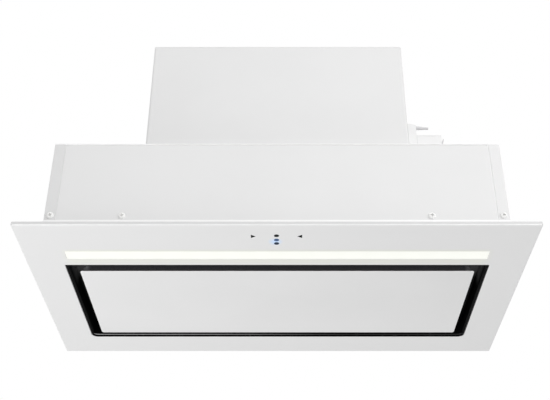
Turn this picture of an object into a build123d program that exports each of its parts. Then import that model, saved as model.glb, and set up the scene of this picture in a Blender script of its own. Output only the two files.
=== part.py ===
from build123d import *
import math
import os

# Built-in range hood, millimetres, +Z up, front towards -Y.
# The origin is the centre of the glass plate's underside.

# Sheet steel and fits
sheet = 1.0
fit = 0.3
run_fit = 0.05
screw_hole_fit = 0.15
round_sides = 36
screw_sides = 6
ear_sides = 8
pin_sides = 10
head_sides = 10
small_round_sides = 14
motor_sides = 24

# Glass plate
plate_width = 598.0
plate_depth = 342.0
plate_thick = 5.0
plate_corner_r = 1.5
plate_chamfer = 0.8

# Suction opening: its front edge from the plate's front edge, its other edges from the body's outside
opening_front = 91.5
opening_rear_margin = 19.1
opening_side_margin = 11.15
opening_corner_r = 8.0

# Light slot: its front edge from the plate's front edge, its ends from the body's outside
light_depth = 17.7
light_front = 59.3
light_side_margin = 16.35
lens_recess = 0.2
lens_lip = 2.0
lens_lip_thick = 1.2
channel_wall = 1.2
channel_height = 12.0
board_thick = 1.6
emitter_size = 3.0
emitter_height = 1.0
emitter_count = 14

# Suction frame
frame_wall = 1.5
frame_lip = 5.0
frame_depth = 26.5

# Cover panel and its backing tray
panel_side_gap = 14.8
panel_front_gap = 15.1
panel_rear_gap = 12.7
panel_thick = 1.2
panel_corner_r = 5.5
panel_recess = 0.3
tray_inset = 1.4
tray_height = 9.5
tray_wall = 1.0
tray_corner_r = 9.0

# Cover hinge
hinge_x = 195.0
hinge_setback = 8.2
hinge_above_tray = 4.0
hinge_eye_r = 3.5
hinge_pin_r = 1.5
hinge_ear_thick = 1.5
hinge_arm_width = 11.0
hinge_arm_foot = 16.0
hinge_bracket_foot = 6.0
hinge_foot_thick = 1.2

# Magnetic catches
catch_x = 200.0
catch_width = 16.0
catch_depth = 8.0
magnet_height = 4.0
magnet_inset = 1.0
strike_thick = 0.8

# Grease filter, its margins measured from the inside of the suction frame
filter_front_margin = 27.0
filter_rear_margin = 25.4
filter_side_margin = 31.0
filter_height = 6.0
filter_rim = 9.0
filter_skin = 1.0
mesh_thick = 3.4
mesh_columns = 10
mesh_rows = 4
mesh_web = 5.0
tongue_reach = 4.0
tongue_width = 24.0
tongue_thick = 2.0

# Filter latch
latch_width = 46.0
latch_depth = 12.0
latch_travel = 5.0
latch_clear = 1.0
latch_rib_inset = 2.0
latch_rib_thick = 2.0
latch_spring_room = 2.0
latch_house_width = 72.0
latch_house_wall = 1.2

# Base frame and body
body_width = 531.3
body_depth = 303.0
body_setback = 10.0
body_height = 107.05
base_height = 8.3
base_lip = 5.5
upstand_height = 18.0
flange_width = 13.0
top_flange = 12.0
corner_relief = 2.0

# Screws
pan_head_r = 4.25
pan_head_height = 2.6
screw_r = 1.95
body_screw_rise = 5.8
body_screw_x = 177.0
body_screw_length = 7.0
small_head_r = 3.4
small_head_height = 2.0
small_screw_r = 1.5
small_screw_length = 5.0
deck_screw_x = 212.0

# Cabinet fixing holes in the side sheets
cabinet_hole_r = 2.25
cabinet_hole_spacing = 200.0
cabinet_hole_rise = 55.0

# Blower housing
housing_width = 331.6
housing_depth = 250.0
housing_height = 195.35
housing_setback = 46.0
housing_bend_r = 3.0
housing_flange = 12.0
air_hole_margin = 15.0
top_screw_margin = 36.0

# Scroll and impeller
impeller_r = 70.0
blade_inner_r = 57.0
impeller_half_width = 62.0
impeller_disc = 1.6
impeller_ring = 2.0
blade_count = 24
blade_thick = 1.4
blade_lead_deg = 16.0
blade_bow = 2.4
blade_seat = 0.4
scroll_start_r = 78.0
scroll_end_r = 104.0
tongue_deg = 75.0
scroll_half_width = 68.0
scroll_sides = 24
scroll_wall = 2.0
scroll_room = 2.0
scroll_rim = 8.0
inlet_mouth_r = 59.0
inlet_throat_r = 52.0
inlet_depth = 5.0

# Motor, shaft and hub
motor_r = 38.0
motor_front_x = 8.0
motor_length = 72.0
motor_band = 4.0
motor_edge = 3.0
shaft_r = 4.0
shaft_back = 14.0
shaft_in_motor = 50.0
hub_r = 8.0
hub_flange_r = 13.0
hub_flange_thick = 3.0
hub_left = 12.0
hub_right = 5.0
arm_count = 3
arm_width = 14.0
arm_thick = 3.0
arm_reach_r = 76.0
bush_r = 6.0
bush_height = 3.0

# Outlet spigot and flaps
spigot_r = 75.0
spigot_wall = 1.8
spigot_height = 40.0
spigot_bore_sides = 40
spigot_flange_width = 166.0
spigot_flange_corner = 10.0
spigot_screw_inset = 9.0
spigot_flange_thick = 2.0
outlet_hole_r = 72.0
spindle_rise = 14.0
spindle_r = 1.5
boss_r = 4.5
boss_length = 5.0
flap_r = 70.0
flap_thick = 1.2
flap_drop = 1.4
knuckle_r = 3.0
knuckle_length = 28.0
knuckle_gap = 2.0
stop_width = 14.0
stop_reach = 7.0
stop_thick = 1.3

# Connection box, cowl, cable nozzle and clip at the right of the blower housing
cowl_width = 10.2
cowl_depth = 36.0
cowl_height = 68.0
cowl_slope = 4.0
cowl_wall = 1.2
box_width = 30.8
box_depth = 66.0
box_height = 49.0
box_wall = 1.5
box_front_room = 4.0
lid_thick = 1.6
nozzle_length = 13.5
nozzle_base_r = 3.0
nozzle_tip_r = 1.6
nozzle_bore_r = 1.0
nozzle_drop = 6.0
terminal_count = 3
terminal_pitch = 10.0
terminal_width = 18.0
terminal_height = 12.0
terminal_well = 4.0
terminal_well_depth = 6.0
clip_width = 8.0
clip_r = 2.6
clip_thick = 1.0
clip_foot = 5.0

# Electronics under the deck
control_width = 140.0
control_depth = 44.0
control_height = 34.0
control_wall = 1.8
control_side_gap = 30.65
post_r = 3.0
post_height = 8.0
driver_width = 80.0
driver_depth = 30.0
driver_height = 22.0
driver_side_gap = 35.65
capacitor_r = 15.0
capacitor_length = 55.0
capacitor_gap = 24.5
stud_r = 4.0
stud_length = 8.0
strap_width = 12.0
strap_thick = 1.0
strap_foot = 6.0
transformer_width = 28.0
transformer_depth = 28.0
transformer_height = 18.0
relay_width = 16.0
relay_depth = 12.0
relay_height = 15.0
relay_gap = 8.0
smoother_r = 6.0
smoother_height = 17.0
component_gap = 12.0

# Touch board
touch_width = 96.0
touch_depth = 30.0
touch_front = 20.0
touch_gap = 6.0
touch_wall = 1.2
touch_height = 14.0
touch_marks = (-26.7, 0.0, 26.7)
touch_spring_r = 4.0
touch_mark_front = 24.4

# Places that follow from the sizes above
plate_front = -plate_depth / 2
body_front = plate_front + body_setback
body_back = body_front + body_depth
body_mid = (body_front + body_back) / 2
body_half = body_width / 2
opening_y0 = plate_front + opening_front
opening_y1 = body_back - opening_rear_margin
opening_mid = (opening_y0 + opening_y1) / 2
opening_width = body_width - 2 * opening_side_margin
opening_depth = opening_y1 - opening_y0
light_y0 = plate_front + light_front
light_mid = light_y0 + light_depth / 2
light_width = body_width - 2 * light_side_margin
base_top = plate_thick + base_height
body_top = base_top + body_height
wall_top = body_top - sheet
frame_half = opening_width / 2 - fit
frame_y0 = opening_y0 + fit
frame_y1 = opening_y1 - fit
ceiling_z = frame_depth - frame_wall
panel_width = opening_width - 2 * panel_side_gap
panel_y0 = opening_y0 + panel_front_gap
panel_y1 = opening_y1 - panel_rear_gap
panel_depth = panel_y1 - panel_y0
panel_mid = (panel_y0 + panel_y1) / 2
tray_z = panel_recess + panel_thick
tray_top = tray_z + tray_height
hinge_y = panel_y1 - hinge_setback
hinge_z = tray_top + hinge_above_tray
filter_y0 = frame_y0 + frame_wall + filter_front_margin
filter_y1 = frame_y1 - frame_wall - filter_rear_margin
filter_mid = (filter_y0 + filter_y1) / 2
filter_depth = filter_y1 - filter_y0
filter_width = 2 * (frame_half - frame_wall - filter_side_margin)
filter_top = ceiling_z + filter_height
tongue_z = frame_depth + fit
tongue_top = tongue_z + tongue_thick
housing_front = body_front + housing_setback
housing_back = housing_front + housing_depth
housing_mid = (housing_front + housing_back) / 2
housing_half = housing_width / 2
housing_top = body_top + housing_height
housing_wall_top = housing_top - sheet


def scroll_radius(angle):
    """Inner radius of the volute: it grows evenly from the tongue round to the outlet."""
    share = max(0.0, angle - tongue_deg) / (360.0 - tongue_deg)
    return scroll_start_r + (scroll_end_r - scroll_start_r) * share


fan_y = housing_front + sheet + scroll_room + scroll_wall + scroll_radius(180.0)
fan_z = body_top + sheet + scroll_room + scroll_wall + scroll_radius(270.0)
tongue_y = fan_y + scroll_start_r * math.cos(math.radians(tongue_deg))
outlet_y1 = fan_y + scroll_end_r
outlet_y = (tongue_y + outlet_y1) / 2
scroll_face_x = scroll_half_width + scroll_wall
motor_back_x = motor_front_x + motor_length
spindle_z = housing_top + spindle_rise
cowl_x0 = housing_half + fit
cowl_x1 = cowl_x0 + cowl_width
cowl_top = body_top + cowl_height
box_x0 = cowl_x1 + fit
box_x1 = box_x0 + box_width
box_y0 = housing_front + box_front_room
nozzle_z = cowl_top - nozzle_drop
nozzle_y = box_y0 + nozzle_base_r + cowl_wall
control_x = control_side_gap + control_width / 2 - body_half
driver_x = body_half - driver_side_gap - driver_width / 2
stud_end_x = driver_x - driver_width / 2 - capacitor_gap


def block(x0, x1, y0, y1, z0, z1):
    """A rectangular block between two corners."""
    corner = (Align.MIN, Align.MIN, Align.MIN)
    return Pos(x0, y0, z0) * Box(x1 - x0, y1 - y0, z1 - z0, align=corner)


def plan(width, depth, y, z0, z1, corner_r=0.0):
    """A slab seen from above as a rectangle about x = 0, with rounded corners where asked."""
    outline = Rectangle(width, depth)
    if corner_r > 0:
        outline = RectangleRounded(width, depth, corner_r)
    return Pos(0, y, z0) * extrude(outline, z1 - z0)


def rod(radius, x0, x1, y, z):
    """A round bar along X."""
    bar = Cylinder(radius, x1 - x0, align=(Align.CENTER, Align.CENTER, Align.MIN))
    return Pos(x0, y, z) * Rot(0, 90, 0) * bar


def post(radius, x, y, z0, z1):
    """A round bar along Z."""
    bar = Cylinder(radius, z1 - z0, align=(Align.CENTER, Align.CENTER, Align.MIN))
    return Pos(x, y, z0) * bar


def screw_bar(radius, x, y, z0, z1):
    """A many-sided bar along Z whose flats lie on the radius, to cut a screw's hole."""
    return Pos(x, y, z0) * extrude(RegularPolygon(radius, screw_sides, major_radius=False), z1 - z0)


def screw_bar_along_y(radius, x, z, y0, y1):
    """The same bar along Y."""
    bar = extrude(RegularPolygon(radius, screw_sides, major_radius=False), y1 - y0)
    return Pos(x, y0, z) * Rot(-90, 0, 0) * bar


def pan_screw(head_r, head_height, shank_r, length):
    """A pan head screw whose head stands on z = 0 and whose shank points down."""
    head = extrude(RegularPolygon(head_r, head_sides), head_height)
    head = chamfer(head.edges().group_by(Axis.Z)[-1], head_height * 0.45)
    return head + extrude(RegularPolygon(shank_r, screw_sides), -length)


def side_plane(x):
    """The plane across X at x, on which a sketch is drawn in (y, z)."""
    return Plane(origin=(x, 0, 0), x_dir=(0, 1, 0), z_dir=(1, 0, 0))


def pin_bore(y, z, radius):
    """The hole for a pin in side view: its flats stand clear of the pin's radius."""
    return Pos(y, z) * RegularPolygon(radius + run_fit, pin_sides, major_radius=False)


def group(solids):
    """Separate solids kept together in one node."""
    return Compound(children=list(solids))


def half_round(radius):
    """Points of a many-sided half circle that hangs below z = 0, from left to right."""
    turns = [math.pi * step / small_round_sides for step in range(small_round_sides + 1)]
    return [(-radius * math.cos(turn), -radius * math.sin(turn)) for turn in turns]


def saddle(inner, thick, rise, foot, sides):
    """Section of a strap: a half round, two straight legs and a foot on each side named."""
    outer = inner + thick
    under = [(-outer, rise)] + half_round(outer) + [(outer, rise)]
    over = [(inner, rise)] + half_round(inner)[::-1] + [(-inner, rise)]
    section = make_face(Polyline(*under, *over, close=True))
    foot_mid = outer + (foot - thick) / 2
    for side in sides:
        section += Pos(side * foot_mid, rise - thick / 2) * Rectangle(foot + thick, thick)
    return section


def tapered_bar(plane, base_r, tip_r, sides, length):
    """A many-sided bar, its corners going from one radius to another, made upright and set on a plane."""
    flat_drop = (base_r - tip_r) * math.cos(math.pi / sides)
    taper = math.degrees(math.atan2(flat_drop, length))
    return plane.location * extrude(RegularPolygon(base_r, sides), length, taper=taper)


def mirror_x(shape):
    """The same piece on the other side of the hood."""
    return mirror(shape, about=Plane.YZ)


# Glass plate and light

def make_glass_panel():
    glass = plan(plate_width, plate_depth, 0, 0, plate_thick, plate_corner_r)
    glass = chamfer(glass.edges().group_by(Axis.Z)[0], plate_chamfer)
    glass = glass - plan(opening_width, opening_depth, opening_mid, -1, plate_thick + 1, opening_corner_r)
    slot_width = light_width + 2 * fit
    slot_depth = light_depth + 2 * fit
    return glass - plan(slot_width, slot_depth, light_mid, -1, plate_thick + 1)


def make_light_lens():
    lens = plan(light_width, light_depth, light_mid, lens_recess, plate_thick)
    lip_width = light_width + 2 * lens_lip
    lip_depth = light_depth + 2 * lens_lip
    return lens + plan(lip_width, lip_depth, light_mid, plate_thick, plate_thick + lens_lip_thick)


channel_inner_width = light_width + 2 * lens_lip + 2 * fit
channel_inner_depth = light_depth + 2 * lens_lip + 2 * fit
channel_top = plate_thick + channel_height
light_board_top = channel_top - channel_wall


def make_light_channel():
    outer_width = channel_inner_width + 2 * channel_wall
    outer_depth = channel_inner_depth + 2 * channel_wall
    channel = plan(outer_width, outer_depth, light_mid, plate_thick, channel_top)
    z0 = plate_thick - 1
    return channel - plan(channel_inner_width, channel_inner_depth, light_mid, z0, light_board_top)


def make_light_board():
    return plan(light_width, light_depth, light_mid, light_board_top - board_thick, light_board_top)


def make_light_emitters():
    chips = []
    pitch = light_width / emitter_count
    z1 = light_board_top - board_thick
    half = emitter_size / 2
    for index in range(emitter_count):
        x = (index + 0.5 - emitter_count / 2) * pitch
        chip = block(x - half, x + half, light_mid - half, light_mid + half, z1 - emitter_height, z1)
        chips.append(chip)
    return group(chips)


# Touch control behind the glass

touch_y0 = plate_front + touch_front
touch_y1 = touch_y0 + touch_depth
touch_board_z = plate_thick + touch_gap
touch_mark_y = plate_front + touch_mark_front


def make_touch_board():
    half = touch_width / 2 - touch_wall - fit
    y0 = touch_y0 + touch_wall + fit
    y1 = touch_y1 - touch_wall - fit
    return block(-half, half, y0, y1, touch_board_z, touch_board_z + board_thick)


def make_touch_springs():
    springs = []
    for x in touch_marks:
        spring = extrude(RegularPolygon(touch_spring_r, screw_sides), touch_gap)
        springs.append(Pos(x, touch_mark_y + touch_spring_r, plate_thick) * spring)
    return group(springs)


def make_touch_cover():
    half = touch_width / 2
    top = plate_thick + touch_height
    cover = block(-half, half, touch_y0, touch_y1, plate_thick, top)
    inner = half - touch_wall
    return cover - block(-inner, inner, touch_y0 + touch_wall, touch_y1 - touch_wall, 0, top - touch_wall)


# Suction frame round the opening

def make_suction_frame():
    width = 2 * frame_half
    depth = frame_y1 - frame_y0
    corner = opening_corner_r - fit
    inner_corner = corner - frame_wall
    wall = plan(width, depth, opening_mid, lens_recess, frame_depth, corner)
    lip_width = width + 2 * frame_lip
    lip_depth = depth + 2 * frame_lip
    lip_top = plate_thick + frame_wall
    lip = plan(lip_width, lip_depth, opening_mid, plate_thick, lip_top)
    inner_width = width - 2 * frame_wall
    inner_depth = depth - 2 * frame_wall
    well = plan(inner_width, inner_depth, opening_mid, lens_recess - 1, ceiling_z, inner_corner)
    hole_width = filter_width + 2 * fit
    hole_depth = filter_depth + 2 * fit
    hole = plan(hole_width, hole_depth, filter_mid, 0, frame_depth + 1)
    return wall + lip - well - hole


# Cover panel, tray and hinge

def make_cover_panel():
    return plan(panel_width, panel_depth, panel_mid, panel_recess, tray_z, panel_corner_r)


def make_panel_backing():
    width = panel_width - 2 * tray_inset
    depth = panel_depth - 2 * tray_inset
    tray = plan(width, depth, panel_mid, tray_z, tray_top, tray_corner_r)
    inner_width = width - 2 * tray_wall
    inner_depth = depth - 2 * tray_wall
    inner_top = tray_top - tray_wall
    inner_corner = tray_corner_r - tray_wall
    return tray - plan(inner_width, inner_depth, panel_mid, tray_z - 1, inner_top, inner_corner)


def make_hinge_arm(x):
    """A folded foot on the tray with an eye that turns on the pin."""
    half = hinge_arm_width / 2
    foot_y0 = hinge_y - hinge_arm_foot
    foot = block(x - half, x + half, foot_y0, hinge_y, tray_top, tray_top + hinge_foot_thick)
    web = block(x - half, x + half, hinge_y - hinge_eye_r, hinge_y + hinge_eye_r, tray_top, hinge_z)
    outline = Pos(hinge_y, hinge_z) * RegularPolygon(hinge_eye_r, small_round_sides)
    eye = extrude(side_plane(x - half) * outline, hinge_arm_width)
    bore = extrude(side_plane(x - half - 1) * pin_bore(hinge_y, hinge_z, hinge_pin_r), hinge_arm_width + 2)
    return foot + web + eye - bore


hinge_ear_x = hinge_arm_width / 2 + fit
hinge_half = hinge_ear_x + hinge_ear_thick
pin_head_r = hinge_pin_r + 1.2
pin_head_thick = 1.0


def make_hinge_bracket(x):
    """A saddle on the ceiling with two ears for the pin."""
    base_z = ceiling_z - hinge_ear_thick
    foot_y1 = hinge_y + hinge_eye_r + hinge_bracket_foot
    bracket = block(x - hinge_half, x + hinge_half, hinge_y - hinge_eye_r, foot_y1, base_z, ceiling_z)
    ear = Pos(hinge_y, hinge_z) * RegularPolygon(hinge_eye_r, ear_sides)
    ear += Pos(hinge_y, (hinge_z + base_z) / 2) * Rectangle(hinge_eye_r, base_z - hinge_z)
    ear -= pin_bore(hinge_y, hinge_z, hinge_pin_r)
    for low in (x - hinge_half, x + hinge_ear_x):
        bracket += extrude(side_plane(low) * ear, hinge_ear_thick)
    return bracket


def make_hinge_pin(x):
    """A pin with a many-sided head at its outer end."""
    centre = Pos(hinge_y, hinge_z)
    shank = centre * RegularPolygon(hinge_pin_r, pin_sides)
    head = centre * RegularPolygon(pin_head_r, ear_sides)
    pin = extrude(side_plane(x - hinge_half) * shank, 2 * hinge_half)
    return pin + extrude(side_plane(x + hinge_half) * head, pin_head_thick)


catch_y0 = panel_y0 + tray_inset + tray_wall
magnet_z = tray_top + strike_thick + fit


def make_strike_plate(x):
    half = catch_width / 2
    return block(x - half, x + half, catch_y0, catch_y0 + catch_depth, tray_top, tray_top + strike_thick)


def make_magnet(x):
    half = catch_width / 2 - magnet_inset
    y0 = catch_y0 + magnet_inset
    y1 = catch_y0 + catch_depth - magnet_inset
    return block(x - half, x + half, y0, y1, magnet_z, magnet_z + magnet_height)


def make_magnet_holder(x):
    half = catch_width / 2
    holder = block(x - half, x + half, catch_y0, catch_y0 + catch_depth, magnet_z, ceiling_z)
    return holder - make_magnet(x)


# Grease filter with its latch

latch_y0 = filter_y0 + filter_rim
latch_house_y0 = filter_y0 + filter_skin
latch_house_y1 = latch_y0 + latch_depth + latch_travel + latch_spring_room + latch_house_wall
latch_reach = latch_travel - latch_clear


def make_filter_frame():
    """An open channel folded round the mesh, with two fixed tongues at the rear."""
    outer = plan(filter_width, filter_depth, filter_mid, ceiling_z, filter_top)
    groove_width = filter_width - 2 * filter_skin
    groove_depth = filter_depth - 2 * filter_skin
    groove_z0 = ceiling_z + filter_skin
    groove = plan(groove_width, groove_depth, filter_mid, groove_z0, filter_top - filter_skin)
    inner_width = filter_width - 2 * filter_rim
    inner_depth = filter_depth - 2 * filter_rim
    window = plan(inner_width, inner_depth, filter_mid, ceiling_z - 1, filter_top + 1)
    latch_half = latch_house_width / 2 + fit
    notch = block(-latch_half, latch_half, latch_house_y0, filter_mid, ceiling_z - 1, filter_top + 1)
    slot_half = tongue_width / 2 + fit
    slot = block(-slot_half, slot_half, filter_y0 - 1, filter_mid, tongue_z - fit, tongue_top + fit)
    frame = outer - groove - window - notch - slot
    for side in (-1, 1):
        x0 = side * filter_width / 4 - tongue_width / 2
        x1 = x0 + tongue_width
        frame += block(x0, x1, filter_y1 - filter_skin, filter_y1 + tongue_reach, tongue_z, tongue_top)
    return frame


def make_filter_mesh():
    """The expanded sheet, a lattice of lozenge gaps, cut away round the latch."""
    width = filter_width - 2 * filter_skin - 2 * fit
    depth = filter_depth - 2 * filter_skin - 2 * fit
    z0 = ceiling_z + filter_skin + fit
    mesh = plan(width, depth, filter_mid, z0, z0 + mesh_thick)
    pitch_x = (filter_width - 2 * filter_rim) / mesh_columns
    pitch_y = (filter_depth - 2 * filter_rim) / mesh_rows
    long = pitch_x - mesh_web
    short = pitch_y - mesh_web
    lozenge = Polyline((-long / 2, 0), (0, -short / 2), (long / 2, 0), (0, short / 2), close=True)
    gap = extrude(make_face(lozenge), mesh_thick + 2)
    latch_half = latch_house_width / 2 + fit
    cut_y1 = latch_house_y1 + fit
    cutters = [block(-latch_half, latch_half, filter_y0, cut_y1, z0 - 1, z0 + mesh_thick + 1)]
    for row in range(mesh_rows):
        y = filter_mid + (row + 0.5 - mesh_rows / 2) * pitch_y
        for column in range(mesh_columns):
            x = (column + 0.5 - mesh_columns / 2) * pitch_x
            beside_latch = abs(x) - long / 2 > latch_half + mesh_web / 2
            behind_latch = y - short / 2 > cut_y1 + mesh_web / 2
            if beside_latch or behind_latch:
                cutters.append(Pos(x, y, z0 - 1) * gap)
    return mesh - cutters


def make_latch_housing():
    """A tray open below, where a finger reaches the sliding latch."""
    half = latch_house_width / 2
    wall = latch_house_wall
    y0 = latch_house_y0 + fit
    y1 = latch_house_y1
    house = block(-half, half, y0, y1, ceiling_z, filter_top)
    hollow = block(wall - half, half - wall, y0 + wall, y1 - wall, ceiling_z - 1, filter_top - wall)
    slot_half = tongue_width / 2 + fit
    slot = block(-slot_half, slot_half, filter_y0, latch_y0, tongue_z - fit, tongue_top + fit)
    return house - hollow - slot


def make_filter_latch():
    """The slider: a tongue over the ceiling's edge, a plate and a finger rib."""
    half = latch_width / 2
    plate = block(-half, half, latch_y0, latch_y0 + latch_depth, tongue_z, tongue_top)
    tongue_half = tongue_width / 2
    tongue = block(-tongue_half, tongue_half, filter_y0 - latch_reach, latch_y0, tongue_z, tongue_top)
    rib_y0 = latch_y0 + latch_rib_inset
    rib = block(-tongue_half, tongue_half, rib_y0, rib_y0 + latch_rib_thick, ceiling_z + fit, tongue_z)
    return plate + tongue + rib


# Base frame and body sheets

def make_base_frame():
    """A folded ring on the glass, with an upstand that the body sheets slip over."""
    side = sheet + fit
    lip_top = plate_thick + sheet
    frame = plan(body_width, body_depth, body_mid, plate_thick, base_top)
    inner_width = body_width - 2 * sheet
    inner_depth = body_depth - 2 * sheet
    frame = frame - plan(inner_width, inner_depth, body_mid, lip_top, base_top - sheet)
    hole_width = body_width - 2 * base_lip
    hole_depth = body_depth - 2 * base_lip
    frame = frame - plan(hole_width, hole_depth, body_mid, plate_thick - 1, lip_top)
    stand_width = body_width - 2 * side
    stand_depth = body_depth - 2 * (side + sheet)
    stand_top = base_top + upstand_height
    frame = frame + plan(stand_width, stand_depth, body_mid, base_top, stand_top)
    bore_width = stand_width - 2 * sheet
    bore_depth = stand_depth - 2 * sheet
    frame = frame - plan(bore_width, bore_depth, body_mid, base_top - sheet - 1, stand_top + 1)
    return frame - body_screw_holes()


screw_z = base_top + body_screw_rise
flange_screw_x = body_half - flange_width / 2 - sheet / 2


def body_screw_holes():
    """Holes for the screws along the foot of the front and back sheets."""
    holes = []
    radius = screw_r + screw_hole_fit
    for x in (-flange_screw_x, -body_screw_x, body_screw_x, flange_screw_x):
        for y0 in (body_front - 1, body_back + 1 - body_screw_length):
            holes.append(screw_bar_along_y(radius, x, screw_z, y0, y0 + body_screw_length))
    return holes


def deck_screw_places():
    """Screws along the deck's edges, into the flanges of the sheets below."""
    inset = 2 * sheet + top_flange / 2
    places = []
    for side in (-1, 1):
        for y in (body_front + inset, body_back - inset):
            places.append((side * deck_screw_x, y))
        places.append((side * (body_half - sheet / 2 - top_flange / 2), body_mid))
    return places


def deck_screw_holes():
    """Holes for those screws, through the deck and the flange under it."""
    radius = small_screw_r + screw_hole_fit
    return [screw_bar(radius, x, y, wall_top - 2 * sheet, body_top + 1) for x, y in deck_screw_places()]


def make_body_end(outer_y, inward):
    """The front or back sheet with its top flange folded in."""
    half = body_half - sheet - fit
    face = outer_y + inward * sheet
    back = face + inward * sheet
    lip = back + inward * top_flange
    wall = block(-half, half, min(face, back), max(face, back), base_top, wall_top)
    lip_half = half - top_flange - corner_relief
    wall += block(-lip_half, lip_half, min(face, lip), max(face, lip), wall_top - sheet, wall_top)
    return wall - body_screw_holes() - deck_screw_holes()


def make_body_side():
    """The right side sheet, wrapped round the front and back sheets."""
    outer_x = body_half
    inner_x = body_half - sheet
    wrap = Pos(0, 0, base_top) * extrude(side_outline(outer_x, inner_x), wall_top - base_top)
    lip_y0 = body_front + 2 * sheet + top_flange + corner_relief
    lip_y1 = body_back - 2 * sheet - top_flange - corner_relief
    wrap += block(outer_x - top_flange, inner_x, lip_y0, lip_y1, wall_top - sheet, wall_top)
    for side in (-1, 1):
        y = body_mid + side * cabinet_hole_spacing / 2
        wrap -= rod(cabinet_hole_r, inner_x - 1, outer_x + 1, y, base_top + cabinet_hole_rise)
    return wrap - body_screw_holes() - deck_screw_holes()


def side_outline(outer_x, inner_x):
    """Plan of the side sheet: a long web with a flange bent in at each end."""
    depth = body_depth
    web = Pos((outer_x + inner_x) / 2, body_mid) * Rectangle(sheet, depth)
    flange_mid = outer_x - flange_width / 2
    front = Pos(flange_mid, body_front + sheet / 2) * Rectangle(flange_width, sheet)
    back = Pos(flange_mid, body_back - sheet / 2) * Rectangle(flange_width, sheet)
    outline = web + front + back
    corners = outline.vertices().filter_by(lambda v: abs(v.X - outer_x) < 0.01)
    return fillet(corners, sheet * 0.9)


def make_body_deck():
    """The body's top sheet, with the air opening up into the blower housing."""
    deck = plan(body_width, body_depth, body_mid, wall_top, body_top)
    hole_width = housing_width - 2 * air_hole_margin
    hole_depth = housing_depth - 2 * air_hole_margin
    deck = deck - plan(hole_width, hole_depth, housing_mid, wall_top - 1, body_top + 1)
    return deck - deck_screw_holes()


# Blower housing

def housing_plan(inset, z0, z1):
    """The housing's plan, square at the back and bent round at the two front corners."""
    half = housing_half - inset
    front = housing_front + inset
    outline = Pos(0, (front + housing_back) / 2) * Rectangle(2 * half, housing_back - front)
    corners = outline.vertices().group_by(Axis.Y)[0]
    outline = fillet(corners, housing_bend_r - inset)
    return Pos(0, 0, z0) * extrude(outline, z1 - z0)


def make_housing_shell():
    """Front and sides in one folded sheet, with flanges turned in at foot and top."""
    top = housing_wall_top
    shell = housing_plan(0, body_top, top) - housing_plan(sheet, body_top + sheet, top - sheet)
    inner_half = housing_half - housing_flange
    inner_front = housing_front + housing_flange
    end = housing_back + 1
    shell -= block(-inner_half, inner_half, inner_front, end, body_top - 1, top + 1)
    shell -= block(-housing_half, housing_half, housing_back - sheet, end, body_top - 1, top + 1)
    return shell - top_screw_holes()


def make_housing_back():
    """The rear sheet, with flanges that sit inside the shell's sides."""
    inner_x = housing_half - sheet - fit
    face = housing_back - sheet
    back = block(-housing_half, housing_half, face, housing_back, body_top, housing_wall_top)
    z0 = body_top + sheet + fit
    z1 = housing_wall_top - sheet - fit
    for side in (-1, 1):
        a = side * inner_x
        b = side * (inner_x - sheet)
        back += block(min(a, b), max(a, b), face - housing_flange, face, z0, z1)
    return back


def spigot_screw_places():
    """Four screws in the corners of the spigot's flange."""
    reach = spigot_flange_width / 2 - spigot_screw_inset
    return [(i * reach, outlet_y + j * reach) for i in (-1, 1) for j in (-1, 1)]


def top_screw_places():
    """Screws that hold the housing's top to the flanges below it."""
    x = housing_half - (sheet + housing_flange) / 2
    ys = (housing_front + top_screw_margin, housing_back - top_screw_margin)
    return [(side * x, y) for side in (-1, 1) for y in ys]


def top_screw_holes():
    """Holes for all the screws that go down into the housing's top."""
    radius = small_screw_r + screw_hole_fit
    places = spigot_screw_places() + top_screw_places()
    return [screw_bar(radius, x, y, housing_wall_top - 2 * sheet, housing_top + 1) for x, y in places]


def make_housing_top():
    top = housing_plan(0, housing_wall_top, housing_top)
    outlet = extrude(RegularPolygon(outlet_hole_r, round_sides), 2 * sheet)
    top -= Pos(0, outlet_y, housing_wall_top - sheet / 2) * outlet
    return top - top_screw_holes()


# Scroll and impeller

def scroll_profile(extra):
    """Side view of the volute, grown outwards by extra, joined to its outlet duct."""
    points = []
    for step in range(scroll_sides + 1):
        angle = 360.0 * step / scroll_sides
        radius = scroll_radius(angle) + extra
        points.append((radius * math.cos(math.radians(angle)), radius * math.sin(math.radians(angle))))
    volute = make_face(Polyline(*points, close=True))
    duct_y0 = tongue_y - fan_y - extra
    duct_y1 = scroll_end_r + extra
    duct_top = housing_wall_top - fan_z
    duct = Pos((duct_y0 + duct_y1) / 2, duct_top / 2) * Rectangle(duct_y1 - duct_y0, duct_top)
    return volute + duct


def fan_plane(x):
    """The plane across X at x whose origin is on the fan's axis."""
    return Plane(origin=(x, fan_y, fan_z), x_dir=(0, 1, 0), z_dir=(1, 0, 0))


def along_x(sketch, x0, x1):
    """Carries a side-view sketch, drawn about the fan's axis, along X."""
    return extrude(fan_plane(x0) * sketch, x1 - x0)


def inlet_cone(extra):
    """The bell mouth's cone, grown outwards by extra, narrowing from the side wall towards the impeller."""
    mouth = Plane(origin=(scroll_face_x, fan_y, fan_z), x_dir=(0, 1, 0), z_dir=(-1, 0, 0))
    return tapered_bar(mouth, inlet_mouth_r + extra, inlet_throat_r + extra, round_sides, inlet_depth)


def make_scroll_half():
    """The right half: the curved wall, the side wall with its bell mouth, and the outlet rim."""
    wall = along_x(scroll_profile(scroll_wall), 0, scroll_face_x)
    wall -= along_x(scroll_profile(0), -1, scroll_half_width)
    wall += inlet_cone(scroll_wall)
    wall -= inlet_cone(0)
    rim_z0 = housing_wall_top - scroll_wall
    rim_y0 = tongue_y - scroll_rim
    rim_y1 = outlet_y1 + scroll_rim
    rim = block(0, scroll_half_width + scroll_rim, rim_y0, rim_y1, rim_z0, housing_wall_top)
    mouth = block(-1, scroll_half_width, tongue_y, outlet_y1, rim_z0 - 1, housing_wall_top + 1)
    return wall + (rim - mouth)


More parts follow.
